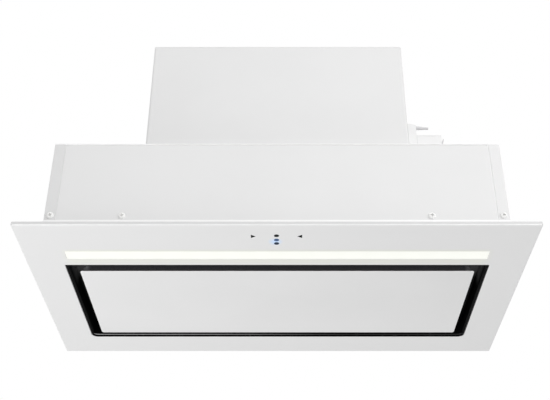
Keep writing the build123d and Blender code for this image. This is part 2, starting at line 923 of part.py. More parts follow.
def blade_outline():
    """One forward-curved blade in side view: a bowed line, and the same line turned by its thickness."""
    lead = math.radians(blade_lead_deg)
    inner_r = blade_inner_r + blade_seat
    edge_r = impeller_r - blade_seat
    middle_r = (inner_r + edge_r) / 2
    turn = blade_thick / middle_r
    front = [(inner_r, 0.0), (middle_r, lead / 2 - blade_bow / middle_r), (edge_r, lead)]
    back = [(radius, angle + turn) for radius, angle in reversed(front)]
    corners = [(radius * math.cos(angle), radius * math.sin(angle)) for radius, angle in front + back]
    return make_face(Polyline(*corners, close=True))


def make_impeller():
    """A centre disc with a ring of forward-curved blades and an end ring on each side."""
    rim = RegularPolygon(impeller_r, round_sides)
    ring = rim - RegularPolygon(blade_inner_r, round_sides)
    disc = rim - RegularPolygon(hub_r + run_fit, small_round_sides)
    half_disc = impeller_disc / 2
    edge = impeller_half_width
    wheel = along_x(disc, -half_disc, half_disc)
    wheel = wheel + along_x(ring, -edge, impeller_ring - edge) + along_x(ring, edge - impeller_ring, edge)
    blades = []
    for step in range(blade_count):
        outline = Rot(0, 0, 360.0 * step / blade_count) * blade_outline()
        blades.append(along_x(outline, impeller_ring - edge, edge - impeller_ring))
    return wheel + blades


def make_impeller_hub():
    """A sleeve through the disc, with a flange against its left face."""
    flange_x1 = -impeller_disc / 2
    hub = along_x(RegularPolygon(hub_r, small_round_sides), -hub_left, hub_right)
    hub += along_x(RegularPolygon(hub_flange_r, small_round_sides), flange_x1 - hub_flange_thick, flange_x1)
    return hub - along_x(shaft_bore(), -hub_left - 1, hub_right + 1)


def shaft_bore():
    """The hole for the shaft about the fan's axis: its flats stand clear of the shaft."""
    return RegularPolygon(shaft_r + run_fit, small_round_sides, major_radius=False)


def make_motor_shaft():
    return rod(shaft_r, -shaft_back, motor_front_x + shaft_in_motor, fan_y, fan_z)


def make_motor():
    can = along_x(RegularPolygon(motor_r, motor_sides), motor_front_x, motor_back_x)
    can = chamfer(can.edges().group_by(Axis.X)[-1], motor_edge)
    bore_end = motor_front_x + shaft_in_motor + fit
    return can - along_x(shaft_bore(), motor_front_x - 1, bore_end)


arm_x0 = scroll_face_x + bush_height
arm_x1 = arm_x0 + arm_thick


def arm_places():
    """The angles at which the motor's arms stand, one of them straight up."""
    return [90.0 + 360.0 * step / arm_count for step in range(arm_count)]


def make_motor_arms():
    """A band round the motor with three arms out to the side of the scroll."""
    band = RegularPolygon(motor_r + motor_band, motor_sides)
    for angle in arm_places():
        band += Rot(0, 0, angle) * Pos(arm_reach_r / 2, 0) * Rectangle(arm_reach_r, arm_width)
    band -= RegularPolygon(motor_r + run_fit, motor_sides)
    return along_x(band - arm_screw_outlines(), arm_x0, arm_x1)


def arm_screw_outlines():
    """The screw holes of the arms in side view, about the fan's axis."""
    hole = RegularPolygon(small_screw_r + screw_hole_fit, screw_sides, major_radius=False)
    return [Rot(0, 0, angle) * Pos(arm_reach_r - bush_r, 0) * hole for angle in arm_places()]


def arm_screw_place(angle):
    reach = arm_reach_r - bush_r
    turn = math.radians(angle)
    return fan_y + reach * math.cos(turn), fan_z + reach * math.sin(turn)


def make_motor_bushes():
    """Rubber bushes between the arms and the side of the scroll."""
    bushes = []
    pad = RegularPolygon(bush_r, head_sides)
    for angle, hole in zip(arm_places(), arm_screw_outlines()):
        outline = Rot(0, 0, angle) * Pos(arm_reach_r - bush_r, 0) * pad - hole
        bushes.append(along_x(outline, scroll_face_x, arm_x0))
    return group(bushes)


# Outlet spigot and backdraft flaps

def make_outlet_spigot():
    """The duct collar on its square flange, with stops for the flaps and bosses for their spindle."""
    base = housing_top
    top = base + spigot_height
    bore_r = spigot_r - spigot_wall
    width = spigot_flange_width
    collar = plan(width, width, outlet_y, base, base + spigot_flange_thick, spigot_flange_corner)
    collar += post(spigot_r, 0, outlet_y, base, top)
    bore = extrude(RegularPolygon(bore_r, spigot_bore_sides), spigot_height + 2)
    collar -= Pos(0, outlet_y, base - 1) * bore
    stop_top = spindle_z - flap_drop - flap_thick - fit
    root = bore_r + spigot_wall / 4
    half = stop_width / 2
    for side in (-1, 1):
        y0, y1 = sorted((outlet_y + side * root, outlet_y + side * (bore_r - stop_reach)))
        collar += block(-half, half, y0, y1, stop_top - stop_thick, stop_top)
        x0, x1 = sorted((side * root, side * (bore_r - boss_length)))
        collar += extrude(side_plane(x0) * spindle_outline(boss_r), x1 - x0)
    collar -= extrude(side_plane(-bore_r) * pin_bore(outlet_y, spindle_z, spindle_r), 2 * bore_r)
    return collar - top_screw_holes_above()


def spindle_outline(radius):
    """A many-sided outline about the flaps' spindle, in (y, z)."""
    return Pos(outlet_y, spindle_z) * RegularPolygon(radius, ear_sides)


def top_screw_holes_above():
    """The screw holes through the spigot's flange."""
    radius = small_screw_r + screw_hole_fit
    top = housing_top + spigot_flange_thick + 1
    return [screw_bar(radius, x, y, housing_top - 1, top) for x, y in spigot_screw_places()]


def make_flap_spindle():
    reach = spigot_r - spigot_wall - fit
    outline = Pos(outlet_y, spindle_z) * RegularPolygon(spindle_r, pin_sides)
    return extrude(side_plane(-reach) * outline, 2 * reach)


def make_flap(side):
    """Half a disc on two knuckles: side -1 lies in front of the spindle, side 1 behind it."""
    z1 = spindle_z - flap_drop
    z0 = z1 - flap_thick
    clear = knuckle_r + fit
    root = clear + flap_thick
    reach = spigot_r - spigot_wall - boss_length - fit
    leaf = Pos(0, outlet_y, z0) * extrude(RegularPolygon(flap_r, round_sides), flap_thick)
    y0, y1 = sorted((outlet_y + side * clear, outlet_y + side * (flap_r + 1)))
    leaf = leaf & block(-reach, reach, y0, y1, z0, z1)
    pitch = knuckle_length + knuckle_gap
    for slot in range(4):
        if slot % 2 == (side + 1) / 2:
            x0 = slot * pitch - 2 * pitch + knuckle_gap / 2
            y0, y1 = sorted((outlet_y, outlet_y + side * root))
            leaf += block(x0, x0 + knuckle_length, y0, y1, z0, z1)
            leaf += extrude(side_plane(x0) * spindle_outline(knuckle_r), knuckle_length)
    return leaf - extrude(side_plane(-flap_r) * pin_bore(outlet_y, spindle_z, spindle_r), 2 * flap_r)


# Connection box, cowl, nozzle and clip

def make_entry_cowl():
    """A cowl against the housing's wall, its top sloping down to the right."""
    outline = Polyline(
        (cowl_x0, body_top),
        (cowl_x1, body_top),
        (cowl_x1, cowl_top - cowl_slope),
        (cowl_x0, cowl_top),
        close=True,
    )
    y0 = box_y0
    y1 = y0 + cowl_depth
    front = Plane(origin=(0, y1, 0), x_dir=(1, 0, 0), z_dir=(0, -1, 0))
    cowl = extrude(front * make_face(outline), cowl_depth)
    wall = cowl_wall
    hollow_top = cowl_top - cowl_slope - wall
    cowl -= block(cowl_x0 - 1, cowl_x1 - wall, y0 + wall, y1 - wall, body_top - 1, hollow_top)
    hole = Pos(nozzle_y, nozzle_z) * RegularPolygon(nozzle_bore_r, screw_sides)
    return cowl - extrude(side_plane(cowl_x1 - 2 * wall) * hole, 3 * wall)


def make_cable_nozzle():
    """The tapered cable nozzle that points away from the housing, bored for the cable."""
    root = Plane(origin=(cowl_x1, nozzle_y, nozzle_z), x_dir=(0, 1, 0), z_dir=(1, 0, 0))
    nozzle = tapered_bar(root, nozzle_base_r, nozzle_tip_r, small_round_sides, nozzle_length)
    return nozzle - extrude(root * RegularPolygon(nozzle_bore_r, screw_sides), nozzle_length + 1)


def make_connection_box():
    top = body_top + box_height
    y1 = box_y0 + box_depth
    box = block(box_x0, box_x1, box_y0, y1, body_top, top)
    wall = box_wall
    return box - block(box_x0 + wall, box_x1 - wall, box_y0 + wall, y1 - wall, body_top + wall, top + 1)


def make_connection_lid():
    top = body_top + box_height
    return block(box_x0, box_x1, box_y0, box_y0 + box_depth, top, top + lid_thick)


def make_terminal_block():
    """A row of screw terminals on the floor of the connection box."""
    z0 = body_top + box_wall
    x_mid = (box_x0 + box_x1) / 2
    y_mid = box_y0 + box_depth / 2
    half_x = terminal_width / 2
    half_y = terminal_count * terminal_pitch / 2
    z1 = z0 + terminal_height
    strip = block(x_mid - half_x, x_mid + half_x, y_mid - half_y, y_mid + half_y, z0, z1)
    well = terminal_well / 2
    for index in range(terminal_count):
        y = y_mid + (index + 0.5 - terminal_count / 2) * terminal_pitch
        strip -= block(x_mid - well, x_mid + well, y - well, y + well, z1 - terminal_well_depth, z1 + 1)
    return strip


def make_cable_clip():
    """A small hoop beside the connection box that holds the cable down on the deck."""
    outer = clip_r + clip_thick
    hoop = saddle(clip_r, clip_thick, outer, clip_foot, (1,))
    corner = (box_x1 + fit + outer, box_y0 + box_front_room, body_top + outer)
    plane = Plane(origin=corner, x_dir=(1, 0, 0), z_dir=(0, 1, 0))
    return extrude(plane * hoop, clip_width)


# Electronics under the deck

control_y0 = body_front + 2 * sheet + top_flange + fit
control_y1 = control_y0 + control_depth
control_z0 = wall_top - control_height
control_board_top = wall_top - control_wall - post_height


def make_control_box():
    """A box open below, hung from the deck, with posts for its board."""
    half = control_width / 2
    wall = control_wall
    box = block(control_x - half, control_x + half, control_y0, control_y1, control_z0, wall_top)
    inner = half - wall
    y0 = control_y0 + wall
    y1 = control_y1 - wall
    box -= block(control_x - inner, control_x + inner, y0, y1, control_z0 - 1, wall_top - wall)
    reach = inner - post_r
    for x in (control_x - reach, control_x + reach):
        for y in (y0 + post_r, y1 - post_r):
            box += Pos(x, y, control_board_top) * extrude(RegularPolygon(post_r, screw_sides), post_height)
    return box


def make_control_lid():
    half = control_width / 2
    z0 = control_z0 - control_wall
    return block(control_x - half, control_x + half, control_y0, control_y1, z0, control_z0)


def make_control_board():
    half = control_width / 2 - control_wall - fit
    y0 = control_y0 + control_wall + fit
    y1 = control_y1 - control_wall - fit
    z1 = control_board_top
    return block(control_x - half, control_x + half, y0, y1, z1 - board_thick, z1)


def make_board_components():
    """The transformer, two relays and a smoothing capacitor in a row under the control board."""
    z1 = control_board_top - board_thick
    y_mid = (control_y0 + control_y1) / 2
    x = control_x - control_width / 2 + control_wall + component_gap
    half = transformer_depth / 2
    pieces = [block(x, x + transformer_width, y_mid - half, y_mid + half, z1 - transformer_height, z1)]
    x += transformer_width + component_gap
    for y0 in (y_mid - relay_gap / 2 - relay_depth, y_mid + relay_gap / 2):
        pieces.append(block(x, x + relay_width, y0, y0 + relay_depth, z1 - relay_height, z1))
    x += relay_width + component_gap + smoother_r
    smoother = extrude(RegularPolygon(smoother_r, small_round_sides), smoother_height)
    pieces.append(Pos(x, y_mid, z1 - smoother_height) * smoother)
    return group(pieces)


def make_light_driver():
    half = driver_width / 2
    y1 = control_y0 + driver_depth
    return block(driver_x - half, driver_x + half, control_y0, y1, wall_top - driver_height, wall_top)


strap_inner_r = capacitor_r + fit
capacitor_y = control_y0 + strap_inner_r + strap_thick + strap_foot
capacitor_z = wall_top - strap_inner_r


def make_capacitor():
    """The motor's capacitor with its stud, lying along X."""
    end = stud_end_x - stud_length
    centre = Pos(capacitor_y, capacitor_z)
    can = side_plane(end - capacitor_length) * centre * RegularPolygon(capacitor_r, 2 * small_round_sides)
    stud = side_plane(end) * centre * RegularPolygon(stud_r, screw_sides)
    return extrude(can, capacitor_length) + extrude(stud, stud_length)


def make_capacitor_strap():
    """A strap under the capacitor with a foot on each side against the deck."""
    strap = saddle(strap_inner_r, strap_thick, strap_inner_r, strap_foot, (-1, 1))
    x0 = stud_end_x - stud_length - (capacitor_length + strap_width) / 2
    plane = Plane(origin=(x0, capacitor_y, capacitor_z), x_dir=(0, 1, 0), z_dir=(1, 0, 0))
    return extrude(plane * strap, strap_width)


# Fasteners

def make_body_screws():
    """Screws along the foot of the body, front and back."""
    pattern = pan_screw(pan_head_r, pan_head_height, screw_r, body_screw_length)
    screws = []
    for x, lap in body_screw_columns():
        front_y = body_front + lap
        back_y = body_back - lap
        screws.append(Pos(x, front_y, screw_z) * Rot(90, 0, 0) * pattern)
        screws.append(Pos(x, back_y, screw_z) * Rot(-90, 0, 0) * pattern)
    return group(screws)


def body_screw_columns():
    """Each screw's X, and how far its head sits behind the side sheets' flanges."""
    columns = []
    for side in (-1, 1):
        columns.append((side * flange_screw_x, 0.0))
        columns.append((side * body_screw_x, sheet))
    return columns


def small_screw(length):
    """A small screw whose plain head stands on z = 0."""
    head = extrude(RegularPolygon(small_head_r, screw_sides), small_head_height)
    return head + extrude(RegularPolygon(small_screw_r, screw_sides), -length)


def small_screws(places, z):
    """Small screws driven down on a level sheet."""
    return [Pos(x, y, z) * small_screw(small_screw_length) for x, y in places]


def make_arm_screws():
    screws = []
    for angle in arm_places():
        y, z = arm_screw_place(angle)
        screws.append(Pos(arm_x1, y, z) * Rot(0, 90, 0) * small_screw(arm_thick + bush_height))
    return group(screws)


right_scroll = make_scroll_half()
right_side = make_body_side()

pieces = {
    "glass_panel": make_glass_panel(),
    "light_lens": make_light_lens(),
    "light_channel": make_light_channel(),
    "light_board": make_light_board(),
    "light_emitters": make_light_emitters(),
    "touch_board": make_touch_board(),
    "touch_springs": make_touch_springs(),
    "touch_cover": make_touch_cover(),
    "suction_frame": make_suction_frame(),
    "cover_panel": make_cover_panel(),
    "panel_backing": make_panel_backing(),
    "hinge_arms": group([make_hinge_arm(-hinge_x), make_hinge_arm(hinge_x)]),
    "hinge_brackets": group([make_hinge_bracket(-hinge_x), make_hinge_bracket(hinge_x)]),
    "hinge_pins": group([make_hinge_pin(-hinge_x), make_hinge_pin(hinge_x)]),
    "strike_plates": group([make_strike_plate(-catch_x), make_strike_plate(catch_x)]),
    "catch_magnets": group([make_magnet(-catch_x), make_magnet(catch_x)]),
    "magnet_holders": group([make_magnet_holder(-catch_x), make_magnet_holder(catch_x)]),
    "filter_frame": make_filter_frame(),
    "filter_mesh": make_filter_mesh(),
    "latch_housing": make_latch_housing(),
    "filter_latch": make_filter_latch(),
    "base_frame": make_base_frame(),
    "body_front": make_body_end(body_front, 1),
    "body_back": make_body_end(body_back, -1),
    "body_side_left": mirror_x(right_side),
    "body_side_right": right_side,
    "body_deck": make_body_deck(),
    "housing_shell": make_housing_shell(),
    "housing_back": make_housing_back(),
    "housing_top": make_housing_top(),
    "scroll_left": mirror_x(right_scroll),
    "scroll_right": right_scroll,
    "impeller": make_impeller(),
    "impeller_hub": make_impeller_hub(),
    "motor_shaft": make_motor_shaft(),
    "motor": make_motor(),
    "motor_arms": make_motor_arms(),
    "motor_bushes": make_motor_bushes(),
    "outlet_spigot": make_outlet_spigot(),
    "flap_spindle": make_flap_spindle(),
    "flap_front": make_flap(-1),
    "flap_rear": make_flap(1),
    "entry_cowl": make_entry_cowl(),
    "cable_nozzle": make_cable_nozzle(),
    "connection_box": make_connection_box(),
    "connection_lid": make_connection_lid(),
    "terminal_block": make_terminal_block(),
    "cable_clip": make_cable_clip(),
    "control_box": make_control_box(),
    "control_lid": make_control_lid(),
    "control_board": make_control_board(),
    "board_components": make_board_components(),
    "light_driver": make_light_driver(),
    "capacitor": make_capacitor(),
    "capacitor_strap": make_capacitor_strap(),
    "body_screws": make_body_screws(),
    "sheet_screws": group(
        small_screws(deck_screw_places(), body_top)
        + small_screws(top_screw_places(), housing_top)
        + small_screws(spigot_screw_places(), housing_top + spigot_flange_thick)
    ),
    "arm_screws": make_arm_screws(),
}

os.makedirs("parts", exist_ok=True)
for name, piece in pieces.items():
    export_step(piece, "parts/" + name + ".step")
print(len(pieces), "nodes")
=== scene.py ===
"""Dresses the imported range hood: its finishes, its folded and moulded surfaces, its light and its camera."""
import logging
import math
from dataclasses import dataclass, field
from enum import Enum
from typing import ClassVar, Sequence

import bmesh
import bpy
import numpy as np
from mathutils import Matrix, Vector


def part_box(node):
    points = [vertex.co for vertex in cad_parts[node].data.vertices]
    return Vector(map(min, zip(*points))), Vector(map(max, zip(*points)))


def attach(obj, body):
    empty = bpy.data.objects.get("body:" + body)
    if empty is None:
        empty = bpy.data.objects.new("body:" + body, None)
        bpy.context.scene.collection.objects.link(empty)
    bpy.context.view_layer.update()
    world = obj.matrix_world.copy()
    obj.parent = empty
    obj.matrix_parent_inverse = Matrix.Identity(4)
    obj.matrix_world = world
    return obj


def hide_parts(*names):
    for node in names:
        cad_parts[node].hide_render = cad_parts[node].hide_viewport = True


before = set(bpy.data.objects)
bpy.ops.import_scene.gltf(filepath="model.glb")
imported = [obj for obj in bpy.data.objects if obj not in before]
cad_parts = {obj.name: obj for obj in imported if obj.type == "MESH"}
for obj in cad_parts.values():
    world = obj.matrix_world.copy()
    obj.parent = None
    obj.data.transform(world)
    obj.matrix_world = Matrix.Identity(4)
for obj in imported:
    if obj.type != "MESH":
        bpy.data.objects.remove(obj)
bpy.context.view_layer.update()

MM = 0.001
PHOTO_WIDTH = 550
ARC_STEPS = 8            # chords in a round corner of an outline
CORNER = ARC_STEPS + 1   # points in that corner
MID_ROUND = 0.3          # share of its radius by which a rounding's middle lies in from each face
MERGE = 2e-6             # metres within which points are one
TINY = 0.02              # least corner radius
SHARP_DEG = 33           # edges that turn by more are rounded or split
FLAT_DEG = 0.5           # faces that turn by less are one flat face

log = logging.getLogger("hood")

Colour = tuple[float, float, float, float]
Stops = Sequence[tuple[float, Colour]]
Socket = bpy.types.NodeSocket
BLACK: Colour = (0.0, 0.0, 0.0, 1.0)
WHITE: Colour = (1.0, 1.0, 1.0, 1.0)


def paint(red: int, green: int, blue: int) -> Colour:
    """Turns a colour as a paint chart gives it, 0 to 255, into linear light, 0 to 1, at full opacity."""
    share = np.array([red, green, blue]) / 255
    light = np.where(share <= 0.04045, share / 12.92, ((share + 0.055) / 1.055) ** 2.4)
    return (float(light[0]), float(light[1]), float(light[2]), 1.0)


def shade(colour: Colour, factor: float) -> Colour:
    """Returns the colour made darker or lighter by a factor."""
    return (colour[0] * factor, colour[1] * factor, colour[2] * factor, 1.0)


def clouded(colour: Colour, low: float, high: float, start: float = 0.3) -> Stops:
    """Returns two ramp stops: the colour times a low factor, and as far from the end, times a high one."""
    return ((start, shade(colour, low)), (1 - start, shade(colour, high)))


def spread_gloss(roughness: float, spread: float, start: float = 0.35) -> Stops:
    """Returns two ramp stops that take the roughness from below its mean to above it."""
    low, high = roughness - spread, roughness + spread
    return ((start, (low, low, low, 1.0)), (1 - start, (high, high, high, 1.0)))


class Edge(Enum):
    """How far the edges of a piece are rounded, in millimetres."""

    RAW = 0.0
    SHEARED = 0.12
    FOLDED = 0.3
    MOULDED = 0.45


class Facing(Enum):
    """The way along Y that a screw's head looks."""

    FRONT = -1
    BACK = 1


def round_rect(x0: float, x1: float, y0: float, y1: float, radii: float | Sequence[float]) -> np.ndarray:
    """Outline of a rectangle with round corners, anticlockwise from its front right corner.

    Each corner is a quarter circle: a point is the corner's centre, set in by the radius, plus
    the radius times the cosine and sine of its turn. The radii are one for all corners, or one for
    each. Returns 4 * CORNER points in X and Y.
    """
    radius = np.broadcast_to(np.asarray(radii, float), (4,))[:, None]
    corner = np.array([(x1, y0), (x1, y1), (x0, y1), (x0, y0)], float)
    inward = np.array([(-1, 1), (-1, -1), (1, -1), (1, 1)], float)
    centre = corner + inward * radius
    turn = np.radians(np.array([-90.0, 0.0, 90.0, 180.0])[:, None] + np.linspace(0, 90, CORNER))
    rim = radius[..., None] * np.stack([np.cos(turn), np.sin(turn)], axis=-1)
    return (centre[:, None, :] + rim).reshape(-1, 2)


def lift(outline: np.ndarray, z: float) -> np.ndarray:
    """Puts a flat outline at a height."""
    return np.column_stack([outline, np.full(len(outline), z)])


def full_turn(sides: int) -> np.ndarray:
    """Returns the turns, in radians, of points spread evenly round a circle."""
    return np.linspace(0, 2 * math.pi, sides, endpoint=False)


@dataclass(frozen=True)
class Span:
    """The box of a node in millimetres, read from its imported mesh."""

    x0: float
    x1: float
    y0: float
    y1: float
    z0: float
    z1: float

    @classmethod
    def of(cls, node: str) -> "Span":
        """Returns the box of one CAD node at rest."""
        low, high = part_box(node)
        return cls(low.x / MM, high.x / MM, low.y / MM, high.y / MM, low.z / MM, high.z / MM)

    def ring(
        self, inset: float, z: float, radii: float | Sequence[float], setback: float = 0.0
    ) -> np.ndarray:
        """Returns the box's outline at a height, drawn in by an inset and in front by a setback more."""
        x0, x1, y0, y1 = self.x0 + inset, self.x1 - inset, self.y0 + inset + setback, self.y1 - inset
        return lift(round_rect(x0, x1, y0, y1, np.maximum(radii, TINY)), z)


class Tree:
    """A node tree in the making, with short calls for its nodes and links."""

    def __init__(self, tree: bpy.types.NodeTree) -> None:
        """Takes a tree and empties it."""
        self.tree = tree
        self.tree.nodes.clear()

    def add(self, kind: str, **settings: object) -> bpy.types.Node:
        """Adds a node of a type, sets its properties and returns it."""
        node = self.tree.nodes.new(kind)
        for key, value in settings.items():
            setattr(node, key, value)
        return node

    def feed(self, value: object, target: Socket) -> None:
        """Links a socket, or sets a plain number or colour."""
        if isinstance(value, Socket):
            self.tree.links.new(value, target)
        else:
            target.default_value = value

    def math(self, work: str, *values: object) -> Socket:
        """Adds one step of arithmetic and returns its result."""
        node = self.add("ShaderNodeMath", operation=work)
        for value, target in zip(values, node.inputs):
            self.feed(value, target)
        return node.outputs[0]

    def seen(self) -> Socket:
        """Returns 1 for rays from the camera, in a reflection or through glass, and 0 for the rest."""
        path = self.add("ShaderNodeLightPath").outputs
        reflected = self.math("MAXIMUM", path["Is Camera Ray"], path["Is Glossy Ray"])
        return self.math("MAXIMUM", reflected, path["Is Transmission Ray"])


class Graph(Tree):
    """A material's node tree: one shader, steered by the object's own coordinates."""

    def __init__(self, name: str) -> None:
        """Starts a material of that name."""
        self.material = bpy.data.materials.new(name)
        self.material.use_nodes = True
        super().__init__(self.material.node_tree)
        self.shader = self.add("ShaderNodeBsdfPrincipled")
        self.feed(self.shader.outputs["BSDF"], self.add("ShaderNodeOutputMaterial").inputs["Surface"])
        self.place = self.add("ShaderNodeTexCoord").outputs["Object"]

    def set(self, **sockets: object) -> None:
        """Sets the shader's own sockets; an underscore in a name stands for a space."""
        for key, value in sockets.items():
            self.feed(value, self.shader.inputs[key.replace("_", " ")])

    def noise(self, scale: float, detail: float, stretch: Sequence[float] = (1, 1, 1)) -> Socket:
        """Adds noise in the object's space and returns its height, 0 to 1.

        The scale is in grains per metre, the detail in octaves, and the stretch is the scale's share
        along X, Y and Z.
        """
        mapping = self.add("ShaderNodeMapping")
        mapping.inputs["Scale"].default_value = tuple(stretch)
        self.feed(self.place, mapping.inputs["Vector"])
        node = self.add("ShaderNodeTexNoise")
        for key, value in (("Vector", mapping.outputs["Vector"]), ("Scale", scale), ("Detail", detail)):
            self.feed(value, node.inputs[key])
        return node.outputs["Fac"]

    def cells(self, scale: float) -> Socket:
        """Adds crystal cells, each with one random grey, and returns that grey's socket."""
        node = self.add("ShaderNodeTexVoronoi")
        node.inputs["Scale"].default_value = scale
        self.feed(self.place, node.inputs["Vector"])
        return node.outputs["Color"]

    def axes(self) -> list[Socket]:
        """Returns the object's X, Y and Z in millimetres."""
        node = self.add("ShaderNodeSeparateXYZ")
        self.feed(self.place, node.inputs["Vector"])
        return [self.math("DIVIDE", node.outputs[axis], MM) for axis in "XYZ"]

    def ease(self, value: Socket, low: float, high: float) -> Socket:
        """Goes smoothly from 0 where the value is low to 1 where it is high."""
        node = self.add("ShaderNodeMapRange", interpolation_type="SMOOTHSTEP")
        for key, source in (("Value", value), ("From Min", low), ("From Max", high)):
            self.feed(source, node.inputs[key])
        return node.outputs["Result"]

    def ramp(self, value: Socket, stops: Stops) -> Socket:
        """Turns a value into a colour through stops of place and colour."""
        node = self.add("ShaderNodeValToRGB")
        for mark, (place, colour) in zip(node.color_ramp.elements, stops, strict=True):
            mark.position = place
            mark.color = colour
        self.feed(value, node.inputs["Fac"])
        return node.outputs["Color"]

    def blend(self, share: Socket, below: object, above: object) -> Socket:
        """Lays one colour over another by a share from 0 to 1.

        The mix node's colours are its inputs 6 and 7 and its output 2.
        """
        node = self.add("ShaderNodeMix", data_type="RGBA")
        for index, value in ((0, share), (6, below), (7, above)):
            self.feed(value, node.inputs[index])
        return node.outputs[2]

    def relief(self, height: Socket, depth: float) -> None:
        """Raises the surface by a height, 0 to 1, times a depth in millimetres."""
        node = self.add("ShaderNodeBump")
        node.inputs["Distance"].default_value = depth * MM
        self.feed(height, node.inputs["Height"])
        self.set(Normal=node.outputs["Normal"])


@dataclass(frozen=True)
class Finish:
    """A surface's finish: its name and the record's material slot that it stands for."""

    name: str
    slot: str

    def material(self) -> bpy.types.Material:
        """Builds the finish as a node tree and returns its material."""
        raise NotImplementedError


@dataclass(frozen=True)
class Enamel(Finish):
    """Powder paint baked on sheet steel: faint orange peel, faint unevenness of tone and gloss."""

    colour: Colour
    roughness: float = 0.42
    gloss_span: float = 0.1
    mottle: float = 0.012
    peel_scale: float = 520.0
    peel_depth: float = 0.012

    def tone(self, graph: Graph) -> Socket:
        """Returns the paint's cloudy colour."""
        cloud = graph.noise(scale=9.0, detail=4.0)
        return graph.ramp(cloud, clouded(self.colour, 1 - self.mottle, 1 + self.mottle))

    def material(self) -> bpy.types.Material:
        """Builds the paint: cloudy tone, cloudy gloss and a fine peel."""
        graph = Graph(self.name)
        least = self.roughness - self.gloss_span / 2
        gloss = graph.math("MULTIPLY_ADD", graph.noise(scale=30.0, detail=2.0), self.gloss_span, least)
        graph.set(Base_Color=self.tone(graph), Roughness=gloss, IOR=1.48)
        graph.relief(graph.noise(self.peel_scale, detail=1.5), self.peel_depth)
        return graph.material


@dataclass(frozen=True)
class SeamEnamel(Enamel):
    """Powder paint with a painted highlight: a thin lighter line that lifts the shade along the seam of the
    front sheet and the right flange.
    """

    seam_x: float = 252.2
    seam_half: float = 0.55
    soft: float = 0.35
    light: Colour = paint(250, 250, 250)

    def tone(self, graph: Graph) -> Socket:
        """Returns the cloudy colour with the painted highlight line along the seam."""
        off = graph.math("ABSOLUTE", graph.math("SUBTRACT", graph.axes()[0], self.seam_x))
        near = graph.ease(off, self.seam_half + self.soft, self.seam_half - self.soft)
        return graph.blend(near, super().tone(graph), self.light)


@dataclass(frozen=True)
class Moulding(Finish):
    """Injection-moulded plastic: a spark-eroded grain and a faint cloud of tone."""

    colour: Colour
    roughness: float = 0.45
    mottle: float = 0.03
    grain_scale: float = 1500.0
    grain_depth: float = 0.02
    coat: float = 0.0
    specular: float = 0.5

    def tone(self, graph: Graph) -> Socket:
        """Returns the plastic's clouded colour."""
        cloud = graph.noise(scale=25.0, detail=3.0)
        return graph.ramp(cloud, clouded(self.colour, 1 - self.mottle, 1 + self.mottle))

    def material(self) -> bpy.types.Material:
        """Builds the plastic: tone, gloss that follows the grain, and the grain itself."""
        graph = Graph(self.name)
        grain = graph.noise(self.grain_scale, detail=2.0)
        gloss = graph.ramp(grain, spread_gloss(self.roughness, spread=0.06))
        graph.set(Base_Color=self.tone(graph), Roughness=gloss)
        graph.set(IOR=1.5, Specular_IOR_Level=self.specular, Coat_Weight=self.coat, Coat_Roughness=0.05)
        graph.relief(grain, self.grain_depth)
        return graph.material


@dataclass(frozen=True)
class FadingBead(Moulding):
    """A plastic bead with a painted highlight: light at its left end, darkening along X."""

    light_x: float = -150.0
    dark_x: float = 105.0
    dark: Colour = paint(14, 14, 15)

    def tone(self, graph: Graph) -> Socket:
        """Returns the clouded colour, blended into the dark one from left to right."""
        share = graph.ease(graph.axes()[0], self.light_x, self.dark_x)
        return graph.blend(share, super().tone(graph), self.dark)


@dataclass(frozen=True)
class CornerSheen(Moulding):
    """A dark plastic with a painted sheen, a highlight that lightens it towards its two front corners.

    Each pair gives where the sheen is nothing and where it is full: outwards along X, along Z and
    along Y.
    """

    sheen: Colour = paint(104, 104, 105)
    across: tuple[float, float] = (212.0, 250.0)
    height: tuple[float, float] = (7.0, 19.0)
    rear: tuple[float, float] = (0.0, -30.0)

    def tone(self, graph: Graph) -> Socket:
        """Returns the clouded colour, blended into the painted sheen at the front corners."""
        x, y, z = graph.axes()
        side = graph.ease(graph.math("ABSOLUTE", x), *self.across)
        depth = graph.math("MULTIPLY", graph.ease(y, *self.rear), graph.ease(z, *self.height))
        return graph.blend(graph.math("MULTIPLY", side, depth), super().tone(graph), self.sheen)


@dataclass(frozen=True)
class Metal(Finish):
    """Bare or plated metal, with rolling lines along one axis or crystals of zinc."""

    colour: Colour
    roughness: float = 0.3
    spread: float = 0.08
    lines: Sequence[float] = (0.03, 1.0, 1.0)
    line_scale: float = 1400.0
    line_depth: float = 0.006
    spangle_scale: float = 0.0
    metallic: float = 1.0

    def material(self) -> bpy.types.Material:
        """Builds the metal: lines or spangles steer both the tone and the gloss."""
        graph = Graph(self.name)
        lines = graph.noise(self.line_scale, detail=2.5, stretch=self.lines)
        pattern = graph.cells(self.spangle_scale) if self.spangle_scale else lines
        tone = graph.ramp(pattern, clouded(self.colour, low=0.93, high=1.04, start=0.2))
        gloss = graph.ramp(pattern, spread_gloss(self.roughness, self.spread))
        graph.set(Base_Color=tone, Roughness=gloss, Metallic=self.metallic)
        graph.relief(lines, self.line_depth)
        return graph.material


@dataclass(frozen=True)
class GroundEdge(Finish):
    """The ground rim of a glass plate: a greyish frosted band, or its polished arris, whose lighter colour is
    a painted highlight.
    """

    colour: Colour = paint(218, 218, 218)
    roughness: float = 0.5

    def material(self) -> bpy.types.Material:
        """Builds the rim with the fine lines of the grinding wheel."""
        graph = Graph(self.name)
        lines = graph.noise(scale=1800.0, detail=2.0, stretch=(0.05, 0.05, 1.0))
        tone = graph.ramp(lines, clouded(self.colour, low=0.96, high=1.03))
        graph.set(Base_Color=tone, Roughness=self.roughness, IOR=1.5)
        graph.relief(lines, depth=0.01)
        return graph.material


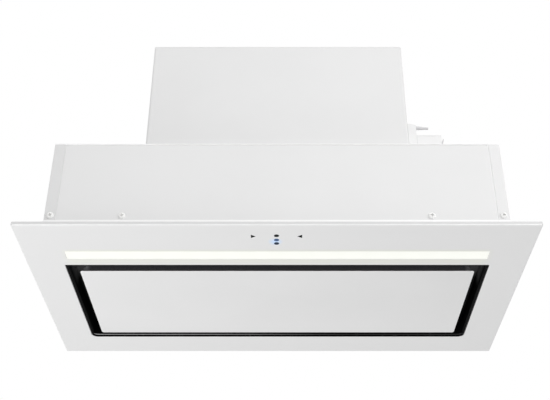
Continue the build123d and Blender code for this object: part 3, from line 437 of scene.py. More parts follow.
@dataclass(frozen=True)
class TouchPrint:
    """The marks printed behind the glass, and a painted glow round the two lit ones, in millimetres from the
    plate's centre.
    """

    dots: Sequence[tuple[float, Colour]] = (
        (-148.0, paint(10, 18, 18)),
        (-138.6, paint(78, 104, 144)),
        (-130.6, paint(46, 58, 78)),
    )
    centre_x: float = -0.45
    dot_radius: float = 3.0
    glow_radius: float = 10.0
    glow_shift: float = -1.2
    glow: Colour = paint(214, 232, 255)
    glow_light: Colour = (0.03, 0.09, 0.2, 1.0)
    arrow_x: float = 26.5
    arrow_y: float = -146.6
    arrow_length: float = 5.6
    arrow_half: float = 3.7
    ink: Colour = paint(12, 12, 13)
    soft: float = 0.12


@dataclass(frozen=True)
class PaintedGlass(Finish):
    """Float glass with white paint on its hidden face, seen through the glass."""

    colour: Colour = paint(247, 247, 247)
    print: TouchPrint = field(default_factory=TouchPrint)
    slot_y0: float = -111.7
    slot_y1: float = -94.0
    slot_half: float = 249.3
    leak: Colour = paint(247, 248, 240)
    leak_front: float = 8.0
    leak_rear: float = 26.0
    coat: float = 0.2

    def dot(self, graph: Graph, centre_y: float, radius: float, soft: float, shift: float = 0.0) -> Socket:
        """Masks a round, soft-edged spot at a place along Y, shifted to the right of the marks' line."""
        x, y, _ = graph.axes()
        off = graph.math("SUBTRACT", x, self.print.centre_x + shift)
        along = graph.math("SUBTRACT", y, centre_y)
        squares = graph.math("ADD", graph.math("POWER", off, 2.0), graph.math("POWER", along, 2.0))
        return graph.ease(graph.math("SQRT", squares), radius + soft, radius - soft)

    def arrow(self, graph: Graph, side: int) -> Socket:
        """Masks an arrowhead that points at the centre line from one side."""
        x, y, _ = graph.axes()
        marks = self.print
        off = graph.math("MULTIPLY", graph.math("SUBTRACT", x, marks.centre_x), float(side))
        along = graph.math("SUBTRACT", off, marks.arrow_x - marks.arrow_length / 2)
        across = graph.math("ABSOLUTE", graph.math("SUBTRACT", y, marks.arrow_y))
        flank = graph.math("MULTIPLY", along, marks.arrow_half / marks.arrow_length)
        base = graph.math("SUBTRACT", marks.arrow_length, along)
        inside = graph.math("MINIMUM", graph.math("SUBTRACT", flank, across), base)
        return graph.ease(inside, -marks.soft, marks.soft)

    def light_leak(self, graph: Graph) -> Socket:
        """Masks the band beside the light slot, where the glass takes some of its light."""
        x, y, _ = graph.axes()
        front = graph.ease(y, self.slot_y0 - self.leak_front, self.slot_y0)
        rear = graph.ease(y, self.slot_y1 + self.leak_rear, self.slot_y1)
        far = graph.math("ABSOLUTE", x)
        ends = graph.ease(far, self.slot_half + self.leak_front, self.slot_half - self.leak_front)
        return graph.math("MULTIPLY", graph.math("MULTIPLY", front, rear), ends)

    def material(self) -> bpy.types.Material:
        """Builds the paint, the leaked light, the marks and the glass over them."""
        graph = Graph(self.name)
        marks = self.print
        cloud = graph.noise(scale=5.0, detail=3.0)
        base = graph.ramp(cloud, clouded(self.colour, low=0.992, high=1.008))
        base = graph.blend(self.light_leak(graph), base, self.leak)
        # Painted light: a pale blue pool round the two lit dots, in the base colour and a faint emission.
        lit = marks.dots[1:]
        middle = sum(place for place, _ in lit) / len(lit)
        reach = marks.glow_radius / 2
        shine = self.dot(graph, middle, reach, reach, marks.glow_shift)
        base = graph.blend(shine, base, marks.glow)
        light = graph.blend(shine, BLACK, marks.glow_light)
        for place, colour in marks.dots:
            spot = self.dot(graph, place, marks.dot_radius, marks.soft)
            base = graph.blend(spot, base, colour)
            light = graph.blend(spot, light, BLACK)
        for side in (-1, 1):
            base = graph.blend(self.arrow(graph, side), base, marks.ink)
        graph.set(Emission_Color=light, Emission_Strength=1.0)
        graph.set(Base_Color=base, Roughness=0.5, IOR=1.5, Specular_IOR_Level=0.05)
        graph.set(Coat_Weight=self.coat, Coat_Roughness=0.03, Coat_IOR=1.5)
        graph.relief(graph.noise(scale=14.0, detail=1.0), depth=0.02)
        return graph.material


@dataclass(frozen=True)
class OpalGlow(Finish):
    """Opal plastic lit evenly from behind, a breath brighter over each lamp.

    The lamps lie half a pitch off the strip's middle, so the cosine of a place along the pitch is
    least over a lamp and greatest between two.
    """

    colour: Colour = paint(138, 137, 132)
    glow: Colour = (0.985, 1.0, 0.94, 1.0)
    strength: float = 0.75
    lamp_pitch: float = 35.61
    dip: float = 0.985

    def material(self) -> bpy.types.Material:
        """Builds the plastic and a glow that swells over the lamps behind it."""
        graph = Graph(self.name)
        turn = graph.math("MULTIPLY", graph.axes()[0], 2 * math.pi / self.lamp_pitch)
        share = graph.ease(graph.math("COSINE", turn), low=-1.0, high=1.0)
        glow = graph.ramp(share, ((0.0, self.glow), (1.0, shade(self.glow, self.dip))))
        gloss = spread_gloss(roughness=0.42, spread=0.04)
        graph.set(Emission_Color=glow, Emission_Strength=self.strength, Base_Color=self.colour)
        graph.set(Roughness=graph.ramp(graph.noise(scale=900.0, detail=1.0), gloss))
        return graph.material


@dataclass(frozen=True)
class CircuitCard(Finish):
    """A circuit card: solder mask over glass cloth, with tinned lands."""

    mask: Colour = (0.018, 0.12, 0.062, 1.0)
    track: Colour = (0.03, 0.19, 0.1, 1.0)
    pad: Colour = (0.55, 0.55, 0.52, 1.0)

    def material(self) -> bpy.types.Material:
        """Builds the mask with tracks in blocks and small lands in a loose grid."""
        graph = Graph(self.name)
        blocks = graph.noise(scale=160.0, detail=0.0, stretch=(1.0, 0.25, 1.0))
        tracks = graph.ramp(blocks, ((0.49, self.mask), (0.5, self.track)))
        lands = graph.ease(graph.cells(scale=210.0), low=0.86, high=0.88)
        graph.set(Base_Color=graph.blend(lands, tracks, self.pad), Roughness=0.35)
        graph.relief(graph.noise(scale=1600.0, detail=1.0), depth=0.008)
        return graph.material


class Palette:
    """The hood's finishes, each built once and shared by the pieces that have it."""

    enamel = Enamel("white_enamel", "white_sheet", paint(230, 230, 230))
    # Painted shade: the same white enamel made darker for the left side sheet.
    left_shaded_enamel = Enamel("left_shaded_enamel", "white_sheet", paint(223, 223, 223))
    # Painted highlight: the white enamel with a lighter line laid over the seam's shade.
    seam_highlight_enamel = SeamEnamel("seam_highlight_enamel", "white_sheet", paint(230, 230, 230))
    # Painted highlight: the white enamel made lighter for the base frame and the deck.
    lit_enamel = Enamel("lit_enamel", "white_sheet", paint(252, 252, 252))
    panel_enamel = Enamel("panel_enamel", "white_panel", paint(243, 243, 243), 0.22, peel_depth=0.004)
    glass = PaintedGlass("painted_glass", "white_glass")
    ground_edge = GroundEdge("ground_edge", "white_glass")
    # Partly real, partly painted light: a glossier polished arris, with a lighter colour as a painted
    # highlight.
    edge_highlight = GroundEdge("edge_highlight", "white_glass", paint(252, 252, 252), 0.12)
    opal = OpalGlow("opal_glow", "opal")
    # Painted highlight: the well's walls and ceiling are lighter towards the front corners.
    black_plastic = CornerSheen(
        "black_plastic", "black_plastic", paint(14, 14, 15), 0.5,
        grain_scale=1800.0, grain_depth=0.008, specular=0.05,
    )
    # Painted highlight: a light grey on the bead that darkens into the black plastic along X.
    bead_highlight = FadingBead(
        "bead_highlight", "black_plastic", paint(176, 176, 177), 0.4, grain_scale=1800.0, grain_depth=0.004
    )
    # Painted highlight: the tray is lighter on its rounded front corners.
    black_gloss = CornerSheen(
        "black_gloss", "black_gloss", paint(82, 82, 84), 0.3, 0.02,
        grain_scale=700.0, grain_depth=0.003, coat=0.15, specular=0.2,
        sheen=paint(190, 190, 192), across=(227.0, 235.0), height=(10.2, 8.2), rear=(-45.0, -72.0),
    )
    white_plastic = Moulding("white_plastic", "white_plastic", paint(238, 238, 238))
    grey_plastic = Moulding("grey_plastic", "grey_plastic", paint(216, 216, 217), 0.5)
    dark_plastic = Moulding("dark_plastic", "dark_plastic", paint(44, 45, 47), 0.5)
    blower_grey = Moulding("blower_grey", "blower_grey", paint(142, 144, 147), 0.5)
    rubber = Moulding("rubber", "rubber", paint(36, 36, 36), 0.8, 0.05, grain_scale=900.0, grain_depth=0.03)
    magnet = Moulding(
        "ferrite", "magnet", paint(52, 52, 54), 0.65, 0.08, grain_scale=1100.0, grain_depth=0.03
    )
    emitter = Moulding("phosphor", "emitter", paint(244, 214, 104), 0.3, 0.02)
    zinc = Metal("zinc_plate", "zinc", (0.70, 0.71, 0.72, 1), 0.36, spangle_scale=160.0)
    aluminium = Metal("aluminium", "aluminium", (0.86, 0.87, 0.88, 1), 0.3)
    steel = Metal("bright_steel", "steel", (0.78, 0.78, 0.77, 1), 0.2, 0.05)
    screw_nickel = Metal("satin_nickel", "steel", (0.93, 0.93, 0.92, 1), 0.4, 0.05, metallic=0.0)
    brass = Metal("brass", "brass", (0.78, 0.6, 0.3, 1), 0.25, 0.05)
    motor_can = Metal("motor_can", "motor_can", (0.42, 0.43, 0.45, 1), 0.4, lines=(1.0, 0.05, 1.0))
    board = CircuitCard("circuit_card", "board")

    def __init__(self) -> None:
        """Starts with no material built."""
        self.built: dict[str, bpy.types.Material] = {}

    def get(self, finish: Finish) -> bpy.types.Material:
        """Returns the finish's material, built at its first use."""
        if finish.name not in self.built:
            self.built[finish.name] = finish.material()
        return self.built[finish.name]


class Surface:
    """A mesh in the making: grids of points in millimetres, gathered into one object."""

    def __init__(self) -> None:
        """Starts empty."""
        self.points: list[np.ndarray] = []
        self.faces: list[list[int]] = []
        self.looks: list[int] = []
        self.count = 0

    def grid(self, points: np.ndarray, closed: bool = False, look: int | np.ndarray = 0) -> None:
        """Adds the faces between neighbouring points of a grid whose rows each close on themselves.

        Face (i, j) joins the points (i, j), (i, j + 1), (i + 1, j + 1) and (i + 1, j). A closed grid's
        last row meets its first. The look is one material index, or one for each row and column of faces.
        """
        rows, columns = points.shape[:2]
        index = np.arange(rows * columns).reshape(rows, columns) + self.count
        below = np.vstack([index, index[:1]]) if closed else index
        below = np.hstack([below, below[:, :1]])
        quads = np.stack([below[:-1, :-1], below[:-1, 1:], below[1:, 1:], below[1:, :-1]], axis=-1)
        self.faces += quads.reshape(-1, 4).tolist()
        self.looks += np.broadcast_to(look, quads.shape[:2]).ravel().tolist()
        self.points.append(points.reshape(-1, 3))
        self.count += rows * columns

    def cap(self, loop: np.ndarray) -> None:
        """Closes a loop of points with one flat face."""
        self.faces.append((np.arange(len(loop)) + self.count).tolist())
        self.looks.append(0)
        self.points.append(loop)
        self.count += len(loop)

    def solid(self, loops: Sequence[np.ndarray], look: int | np.ndarray = 0) -> None:
        """Adds a closed solid: a skin through the loops and a flat face at each end."""
        self.grid(np.stack(loops), look=look)
        self.cap(loops[0])
        self.cap(loops[-1])

    def build(
        self, name: str, looks: Sequence[bpy.types.Material], smooth_deg: float = 32.0
    ) -> bpy.types.Object:
        """Makes the object, at the origin: merges doubles and turns faces outwards.

        Edges that turn by less than smooth_deg are shaded smooth.
        """
        mesh = bpy.data.meshes.new(name)
        mesh.from_pydata(np.vstack(self.points) * MM, [], self.faces)
        mesh.polygons.foreach_set("material_index", np.array(self.looks, np.int32))
        work = bmesh.new()
        work.from_mesh(mesh)
        bmesh.ops.remove_doubles(work, verts=work.verts, dist=MERGE)
        bmesh.ops.recalc_face_normals(work, faces=work.faces)
        work.to_mesh(mesh)
        work.free()
        for look in looks:
            mesh.materials.append(look)
        mesh.polygons.foreach_set("use_smooth", np.ones(len(mesh.polygons), bool))
        mesh.set_sharp_from_angle(angle=math.radians(smooth_deg))
        made = bpy.data.objects.new(name, mesh)
        bpy.context.scene.collection.objects.link(made)
        return made


def round_edges(piece: bpy.types.Object, width: float, segments: int) -> None:
    """Rounds the sharp edges of a piece by a width in millimetres and keeps its flat faces flat."""
    bevel = piece.modifiers.new("round_edges", "BEVEL")
    bevel.width = width * MM
    bevel.segments = segments
    bevel.limit_method = "ANGLE"
    bevel.angle_limit = math.radians(SHARP_DEG)
    bevel.harden_normals = True


@dataclass
class Assembly:
    """A sub-assembly of the hood: surfaces of its own, and CAD nodes that it dresses as they are."""

    palette: Palette
    dressed: ClassVar[Sequence[tuple[str, Finish, Edge]]] = ()

    def forms(self) -> list[str]:
        """Builds the sub-assembly's own surfaces, if any, and returns the names of their pieces."""
        return []

    def build(self) -> list[str]:
        """Builds and dresses the sub-assembly and returns the names of its pieces."""
        return self.forms() + [self.dress(*row) for row in self.dressed]

    def dress(self, node: str, finish: Finish, edge: Edge) -> str:
        """Gives a CAD node its finish and returns its name.

        Its edges are rounded or split by modifiers, and its mesh stays as it is.
        """
        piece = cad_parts[node]
        mesh = piece.data
        mesh.materials.clear()
        mesh.materials.append(self.palette.get(finish))
        custom = mesh.attributes.get("custom_normal")
        if custom is not None:
            mesh.attributes.remove(custom)
        mesh.polygons.foreach_set("use_smooth", np.ones(len(mesh.polygons), bool))
        weld = piece.modifiers.new("weld", "WELD")
        weld.merge_threshold = MERGE
        flat = piece.modifiers.new("flat_faces", "DECIMATE")
        flat.decimate_type = "DISSOLVE"
        flat.angle_limit = math.radians(FLAT_DEG)
        if edge is not Edge.RAW:
            round_edges(piece, edge.value, segments=2)
        else:
            split = piece.modifiers.new("crisp_edges", "EDGE_SPLIT")
            split.split_angle = math.radians(SHARP_DEG)
        return node

    def place(self, piece: bpy.types.Object, body: str, finish: Finish, *nodes: str) -> str:
        """Puts a new piece on a body, lets it stand for CAD nodes if any, and returns its name."""
        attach(piece, body)
        if nodes:
            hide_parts(*nodes)
        return piece.name

    def form(
        self, skin: Surface, name: str, body: str, finishes: Sequence[Finish], *nodes: str, **smooth: float
    ) -> str:
        """Makes a surface into a piece with its finishes and places it on a body."""
        piece = skin.build(name, [self.palette.get(finish) for finish in finishes], **smooth)
        return self.place(piece, body, finishes[0], *nodes)


@dataclass(frozen=True)
class Hole:
    """An opening in the plate: half its width, its ends along Y and its corner radii."""

    half: float
    y0: float
    y1: float
    front_corner: float
    back_corner: float

    def ring(self, grow: float, z: float) -> np.ndarray:
        """Returns the opening's outline, grown by an amount, at a height."""
        radii = np.array([self.front_corner, self.back_corner, self.back_corner, self.front_corner]) + grow
        return lift(round_rect(-self.half - grow, self.half + grow, self.y0 - grow, self.y1 + grow, radii), z)


@dataclass
class GlassPlate(Assembly):
    """The glass plate with its suction opening and its light slot, and the touch board behind it."""

    corner: float = 1.5
    arris: Sequence[tuple[float, float]] = ((1.8, 0.0), (0.6, 0.3), (0.12, 0.8), (0.0, 1.4))
    back_chamfer: float = 0.3
    hole_polish: tuple[float, float] = (0.8, 0.4)
    slot: Hole = Hole(249.6, -112.0, -93.7, front_corner=0.6, back_corner=0.6)
    opening: Hole = Hole(254.9, -79.2, 122.9, front_corner=0.8, back_corner=8.0)
    smooth_deg: float = 12.0
    span: Span = field(init=False)
    split: float = field(init=False)
    dressed = (
        ("touch_board", Palette.board, Edge.SHEARED),
        ("touch_springs", Palette.steel, Edge.SHEARED),
        ("touch_cover", Palette.dark_plastic, Edge.MOULDED),
    )

    def __post_init__(self) -> None:
        """Reads the plate's box and halves the bar between its two openings."""
        self.span = Span.of("glass_panel")
        self.split = (self.slot.y1 + self.opening.y0) / 2

    def outer(self, inset: float, z: float) -> np.ndarray:
        """The plate's outline drawn in, with a point at each end of the line between the openings."""
        box = self.span
        loop = box.ring(inset, z, self.corner - inset / 2)
        right = (box.x1 - inset, self.split, z)
        left = (box.x0 + inset, self.split, z)
        return np.vstack([loop[:CORNER], right, loop[CORNER : 3 * CORNER], left, loop[3 * CORNER :]])

    def field_loop(self, inset: float, z: float, rear: bool) -> np.ndarray:
        """One field of the plate, in front of or behind the line between the openings."""
        box = self.span
        y0 = self.split if rear else box.y0 + inset
        y1 = box.y1 - inset if rear else self.split
        radius = self.corner - inset / 2
        radii = (0, radius, radius, 0) if rear else (radius, 0, 0, radius)
        return lift(round_rect(box.x0 + inset, box.x1 - inset, y0, y1, radii), z)

    def forms(self) -> list[str]:
        """Builds the plate: a ground rim, polished in front with a painted highlight there, and each field's
        faces and opening, whose lower chamfers carry the same painted highlight.
        """
        paint_face, ground, polish_highlight = range(3)
        box, back = self.span, self.back_chamfer
        skin = Surface()
        rim = [self.outer(inset, box.z0 + height) for inset, height in self.arris]
        rim += [self.outer(0, box.z1 - back), self.outer(back, box.z1)]
        looks = np.full((len(rim) - 1, len(rim[0])), ground)
        looks[0] = paint_face
        looks[1:3, -1] = polish_highlight
        skin.grid(np.stack(rim), look=looks)
        for rear, hole in ((False, self.slot), (True, self.opening)):
            wide, deep = self.hole_polish if rear else (back, back)
            steps = ((wide, box.z0), (0, box.z0 + deep), (0, box.z1 - back), (back, box.z1))
            rings = [hole.ring(grow, z) for grow, z in steps]
            skin.grid(np.stack([self.field_loop(self.arris[0][0], box.z0, rear), rings[0]]))
            skin.grid(np.stack(rings), look=np.array([[polish_highlight], [ground], [ground]]))
            skin.grid(np.stack([rings[-1], self.field_loop(back, box.z1, rear)]))
        finishes = (Palette.glass, Palette.ground_edge, Palette.edge_highlight)
        return [self.form(skin, "glass_plate", "root", finishes, "glass_panel", smooth_deg=self.smooth_deg)]


@dataclass
class LightStrip(Assembly):
    """The opal strip in its slot, with the channel, board and lamps behind it."""

    lip: float = 2.0
    lip_thick: float = 1.2
    corner: float = 0.5
    edge: float = 0.25
    dressed = (
        ("light_channel", Palette.aluminium, Edge.SHEARED),
        ("light_board", Palette.board, Edge.SHEARED),
        ("light_emitters", Palette.emitter, Edge.SHEARED),
    )

    def forms(self) -> list[str]:
        """Builds the strip: a bar with eased edges that widens to a lip above the glass."""
        box = Span.of("light_lens")
        edge, mid, lip_z = self.edge, self.edge * MID_ROUND, box.z1 - self.lip_thick
        steps = (
            (-edge, box.z0), (-mid, box.z0 + mid), (0, box.z0 + edge),
            (0, lip_z), (self.lip, lip_z), (self.lip, box.z1),
        )
        skin = Surface()
        skin.solid([box.ring(self.lip - grow, z, self.corner + grow) for grow, z in steps])
        return [self.form(skin, "light_strip", "root", (Palette.opal,), "light_lens")]


@dataclass
class SuctionFrame(Assembly):
    """The black well behind the opening: its wall, its lip on the glass and its ceiling."""

    lip: float = 5.0
    lip_z: float = 5.0
    wall: float = 1.5
    foot: float = 0.3
    corner: float = 7.7
    front_corner: float = 0.6
    bead_z: float = 3.2
    bead_rise: float = 0.7
    bead_slopes: tuple[float, float, float] = (0.6, 0.2, 0.5)
    bead_row: int = 4
    cove: float = 1.5
    hole_half: float = 222.0
    hole_y0: float = -51.0
    hole_y1: float = 96.0
    hole_corner: float = 1.0
    dressed = (
        ("hinge_brackets", Palette.zinc, Edge.SHEARED),
        ("hinge_pins", Palette.steel, Edge.SHEARED),
        ("magnet_holders", Palette.dark_plastic, Edge.FOLDED),
        ("catch_magnets", Palette.magnet, Edge.SHEARED),
    )

    def forms(self) -> list[str]:
        """Builds the frame: one closed section carried round the opening.

        The section's points are insets from the wall's outer face, and heights. The bead's lower slope
        is in the lighter plastic, a painted highlight, along the back and part of the way round both rear
        corners.
        """
        box = Span.of("suction_frame")
        wall, crest, foot = self.wall, self.wall + self.bead_rise, self.foot
        cove, mid = self.cove, self.cove * MID_ROUND
        ceiling, lip_top, bead = box.z1 - wall, self.lip_z + wall, self.bead_z
        start, top, end = self.bead_slopes
        inner = (
            (0, box.z0 + foot), (foot, box.z0), (wall - foot, box.z0), (wall, box.z0 + foot),
            (wall, bead - start), (crest, bead), (crest, bead + top), (wall, bead + end),
            (wall, ceiling - cove), (wall + mid, ceiling - mid), (wall + cove, ceiling),
        )
        outer = (
            (cove, box.z1), (mid, box.z1 - mid), (0, box.z1 - cove), (0, lip_top),
            (-self.lip, lip_top), (-self.lip, self.lip_z), (0, self.lip_z),
        )
        corners = np.array([self.front_corner, self.corner, self.corner, self.front_corner])
        hole = round_rect(-self.hole_half, self.hole_half, self.hole_y0, self.hole_y1, self.hole_corner)

        def rings(steps: Sequence[tuple[float, float]]) -> list[np.ndarray]:
            """The wall's outline at each inset and height."""
            return [box.ring(inset + self.lip, z, np.maximum(corners - inset, TINY)) for inset, z in steps]

        section = rings(inner) + [lift(hole, ceiling), lift(hole, box.z1)] + rings(outer)
        looks = np.zeros((len(section), len(hole)), int)
        looks[self.bead_row, CORNER + 2 : 3 * CORNER - 3] = 1
        skin = Surface()
        skin.grid(np.stack(section), closed=True, look=looks)
        finishes = (Palette.black_plastic, Palette.bead_highlight)
        return [self.form(skin, "suction_well", "root", finishes, "suction_frame")]


@dataclass
class CoverPanel(Assembly):
    """The white cover panel and the dark tray behind it, which swing down together."""

    panel_corner: float = 3.0
    panel_bevel: Sequence[tuple[float, float]] = ((1.4, 0.0), (0.35, 0.4), (0.0, 0.75))
    panel_setback: float = 1.7
    panel_chamfer: float = 0.2
    tray_corner: float = 12.0
    tray_wall: float = 1.0
    tray_round: float = 1.6
    tray_points: int = 6
    tray_setback: float = 1.0
    dressed = (
        ("hinge_arms", Palette.zinc, Edge.SHEARED),
        ("strike_plates", Palette.zinc, Edge.SHEARED),
    )

    def panel(self) -> str:
        """Builds the panel: a thin plate whose lower edge is bevelled and painted lighter, a painted
        highlight.
        """
        box, chamfer = Span.of("cover_panel"), self.panel_chamfer
        steps = [(inset, box.z0 + height) for inset, height in self.panel_bevel]
        steps += [(0, box.z1 - chamfer), (chamfer, box.z1)]
        skin = Surface()
        skin.solid(
            [box.ring(inset, z, self.panel_corner - inset, self.panel_setback) for inset, z in steps],
            look=np.array([[1], [1], [0], [0]]),
        )
        finishes = (Palette.panel_enamel, Palette.edge_highlight)
        return self.form(skin, "cover_sheet", "cover", finishes, "cover_panel")

    def tray(self) -> str:
        """Builds the tray: a shallow pan, open below, with a rounded upper rim."""
        box, wall, size = Span.of("panel_backing"), self.tray_wall, self.tray_round
        steps = [(wall, box.z1 - wall), (wall, box.z0), (0, box.z0)]
        for turn in np.linspace(0, math.pi / 2, self.tray_points):
            steps.append((size * (1 - math.cos(turn)), box.z1 - size * (1 - math.sin(turn))))
        skin = Surface()
        skin.solid([box.ring(inset, z, self.tray_corner - inset, self.tray_setback) for inset, z in steps])
        return self.form(skin, "backing_tray", "cover", (Palette.black_gloss,), "panel_backing")

    def forms(self) -> list[str]:
        """Builds the panel and the tray."""
        return [self.panel(), self.tray()]


@dataclass
class GreaseFilter(Assembly):
    """The grease filter: its folded frame, its layers of expanded mesh, and its latch."""

    cell_x: float = 11.0
    cell_y: float = 5.6
    strand: float = 0.95
    gauge: float = 0.5
    tilt: float = 0.35
    layers: int = 2
    margin: float = 0.5
    latch_half: float = 37.0
    latch_room: float = 1.0
    smooth_deg: float = 20.0
    dressed = (
        ("filter_frame", Palette.aluminium, Edge.SHEARED),
        ("latch_housing", Palette.dark_plastic, Edge.FOLDED),
        ("filter_latch", Palette.grey_plastic, Edge.FOLDED),
    )

    def strands(self, skin: Surface, x0: float, x1: float, y: float, z: float, phase: int) -> None:
        """Adds one zigzag strand: a flat bar that swings half a cell up or down in Y at each step.

        It runs from x0 to x1 and swings about the line at y and z, from its high side in phase 0 and
        from its low side in phase 1.
        """
        count = max(3, round((x1 - x0) / (self.cell_x / 2)) + 1)
        sign = np.where((np.arange(count) + phase) % 2 == 0, 1.0, -1.0)
        x = np.linspace(x0, x1, count)
        line = y + sign * (self.cell_y / 2 - self.strand / 2)
        tilt = sign * self.gauge * self.tilt
        half, flat = self.strand / 2, self.gauge / 2
        corners = ((-half, -flat), (half, -flat), (half, flat), (-half, flat))
        rails = [np.column_stack([x, line + dy, z + dz + tilt * np.sign(dy)]) for dy, dz in corners]
        skin.solid(list(np.stack(rails, axis=1)))

    def forms(self) -> list[str]:
        """Builds the layers of expanded sheet, cut away round the latch."""
        box = Span.of("filter_mesh")
        latch_y = Span.of("latch_housing").y1 + self.latch_room
        left, right = box.x0 + self.margin, box.x1 - self.margin
        rows = int((box.y1 - box.y0) / self.cell_y)
        spare = (box.y1 - box.y0 - rows * self.cell_y) / 2
        skin = Surface()
        for layer in range(self.layers):
            z = box.z0 + (box.z1 - box.z0) * (layer + 0.5) / self.layers
            for row in range(rows):
                y = box.y0 + spare + (row + 0.5) * self.cell_y
                whole = y - self.cell_y / 2 > latch_y
                runs = ((left, right),) if whole else ((left, -self.latch_half), (self.latch_half, right))
                for x0, x1 in runs:
                    self.strands(skin, x0, x1, y, z, (row + layer) % 2)
        finishes = (Palette.aluminium,)
        return [self.form(skin, "expanded_mesh", "root", finishes, "filter_mesh", smooth_deg=self.smooth_deg)]


@dataclass
class BodyCase(Assembly):
    """The folded body: base frame, deck, front, back and sides."""

    dressed = (
        # The base frame and the deck take the lit enamel, a painted highlight; the left side takes the shaded
        # enamel, painted shade.
        ("base_frame", Palette.lit_enamel, Edge.FOLDED),
        ("body_deck", Palette.lit_enamel, Edge.FOLDED),
        ("body_front", Palette.seam_highlight_enamel, Edge.FOLDED),
        ("body_back", Palette.enamel, Edge.FOLDED),
        ("body_side_left", Palette.left_shaded_enamel, Edge.FOLDED),
        ("body_side_right", Palette.seam_highlight_enamel, Edge.FOLDED),
    )


@dataclass
class BlowerHousing(Assembly):
    """The narrower housing on top of the body, bent round at its front corners."""

    dressed = (
        ("housing_shell", Palette.enamel, Edge.FOLDED),
        ("housing_back", Palette.enamel, Edge.FOLDED),
        ("housing_top", Palette.enamel, Edge.FOLDED),
    )


@dataclass
class Screws(Assembly):
    """The body's pan head screws with their cross recesses, and the small screws."""

    head_r: float = 4.25
    head_height: float = 2.6
    head_rows: int = 12
    shank_r: float = 1.95
    length: float = 7.0
    sides: int = 40
    squareness: float = 2.6
    recess_width: float = 0.26
    recess_reach: float = 0.46
    recess_flank: float = 0.08
    recess_depth: float = 0.9
    inner_x: float = 177.0
    lap: float = 1.0
    first_spin: float = 17.0
    spin_step: float = 37.0
    smooth_deg: float = 40.0
    dressed = (
        ("sheet_screws", Palette.zinc, Edge.SHEARED),
        ("arm_screws", Palette.zinc, Edge.SHEARED),
    )

    def profile(self) -> tuple[np.ndarray, np.ndarray]:
        """The screw's section from its crown down to its tip: radii, and heights above the seat.

        The head's height is H (1 - (r / R) ^ p) ^ (1 / p), a rounded step that grows squarer with p.
        """
        tip = self.shank_r / 2
        share = np.linspace(0, 1, self.head_rows)
        crown = self.head_height * (1 - share**self.squareness) ** (1 / self.squareness)
        radii = np.concatenate([share * self.head_r, [self.shank_r, self.shank_r, tip, 0]])
        heights = np.concatenate([crown, [0, tip - self.length, -self.length, -self.length]])
        return radii, heights

    def add(self, skin: Surface, place: Sequence[float], facing: Facing, spin: float) -> None:
        """Adds one screw.

        A point of the head lies at radius r and turn a. It sinks by the recess's depth where it is
        nearer to one arm of the cross than half the arm's width, and nearer to the centre than its reach.
        The place is the centre of the screw's seat, and the cross is turned by the spin, in degrees.
        """
        radii, heights = self.profile()
        r, a = np.meshgrid(radii, full_turn(self.sides), indexing="ij")
        x, y = r * np.cos(a), r * np.sin(a)
        near = np.minimum(np.abs(x), np.abs(y)) / self.head_r
        far = np.maximum(np.abs(x), np.abs(y)) / self.head_r
        flank = self.recess_flank
        arm = np.clip((self.recess_width / 2 + flank / 2 - near) / flank, 0, 1)
        reach = np.clip((self.recess_reach - far) / flank, 0, 1)
        sink = self.recess_depth * self.head_height * arm * reach * (heights > 0)[:, None]
        up = heights[:, None] - sink
        spun = np.radians(spin)
        u, v = x * np.cos(spun) - y * np.sin(spun), x * np.sin(spun) + y * np.cos(spun)
        skin.grid(np.stack([u, up * facing.value, v], axis=-1) + np.array(place))

    def places(self) -> list[tuple[tuple[float, float, float], Facing]]:
        """The screws along the foot of the body's front and back sheets."""
        box = Span.of("body_screws")
        z = (box.z0 + box.z1) / 2
        outer = box.x1 - self.head_r
        places = []
        for x, lap in ((-outer, 0.0), (-self.inner_x, self.lap), (self.inner_x, self.lap), (outer, 0.0)):
            places.append(((x, box.y0 + self.head_height + lap, z), Facing.FRONT))
            places.append(((x, box.y1 - self.head_height - lap, z), Facing.BACK))
        return places

    def forms(self) -> list[str]:
        """Builds the body's screws as one piece."""
        skin = Surface()
        for index, (place, facing) in enumerate(self.places()):
            self.add(skin, place, facing, self.first_spin + self.spin_step * index)
        finishes = (Palette.screw_nickel,)
        return [self.form(skin, "cross_screws", "root", finishes, "body_screws", smooth_deg=self.smooth_deg)]


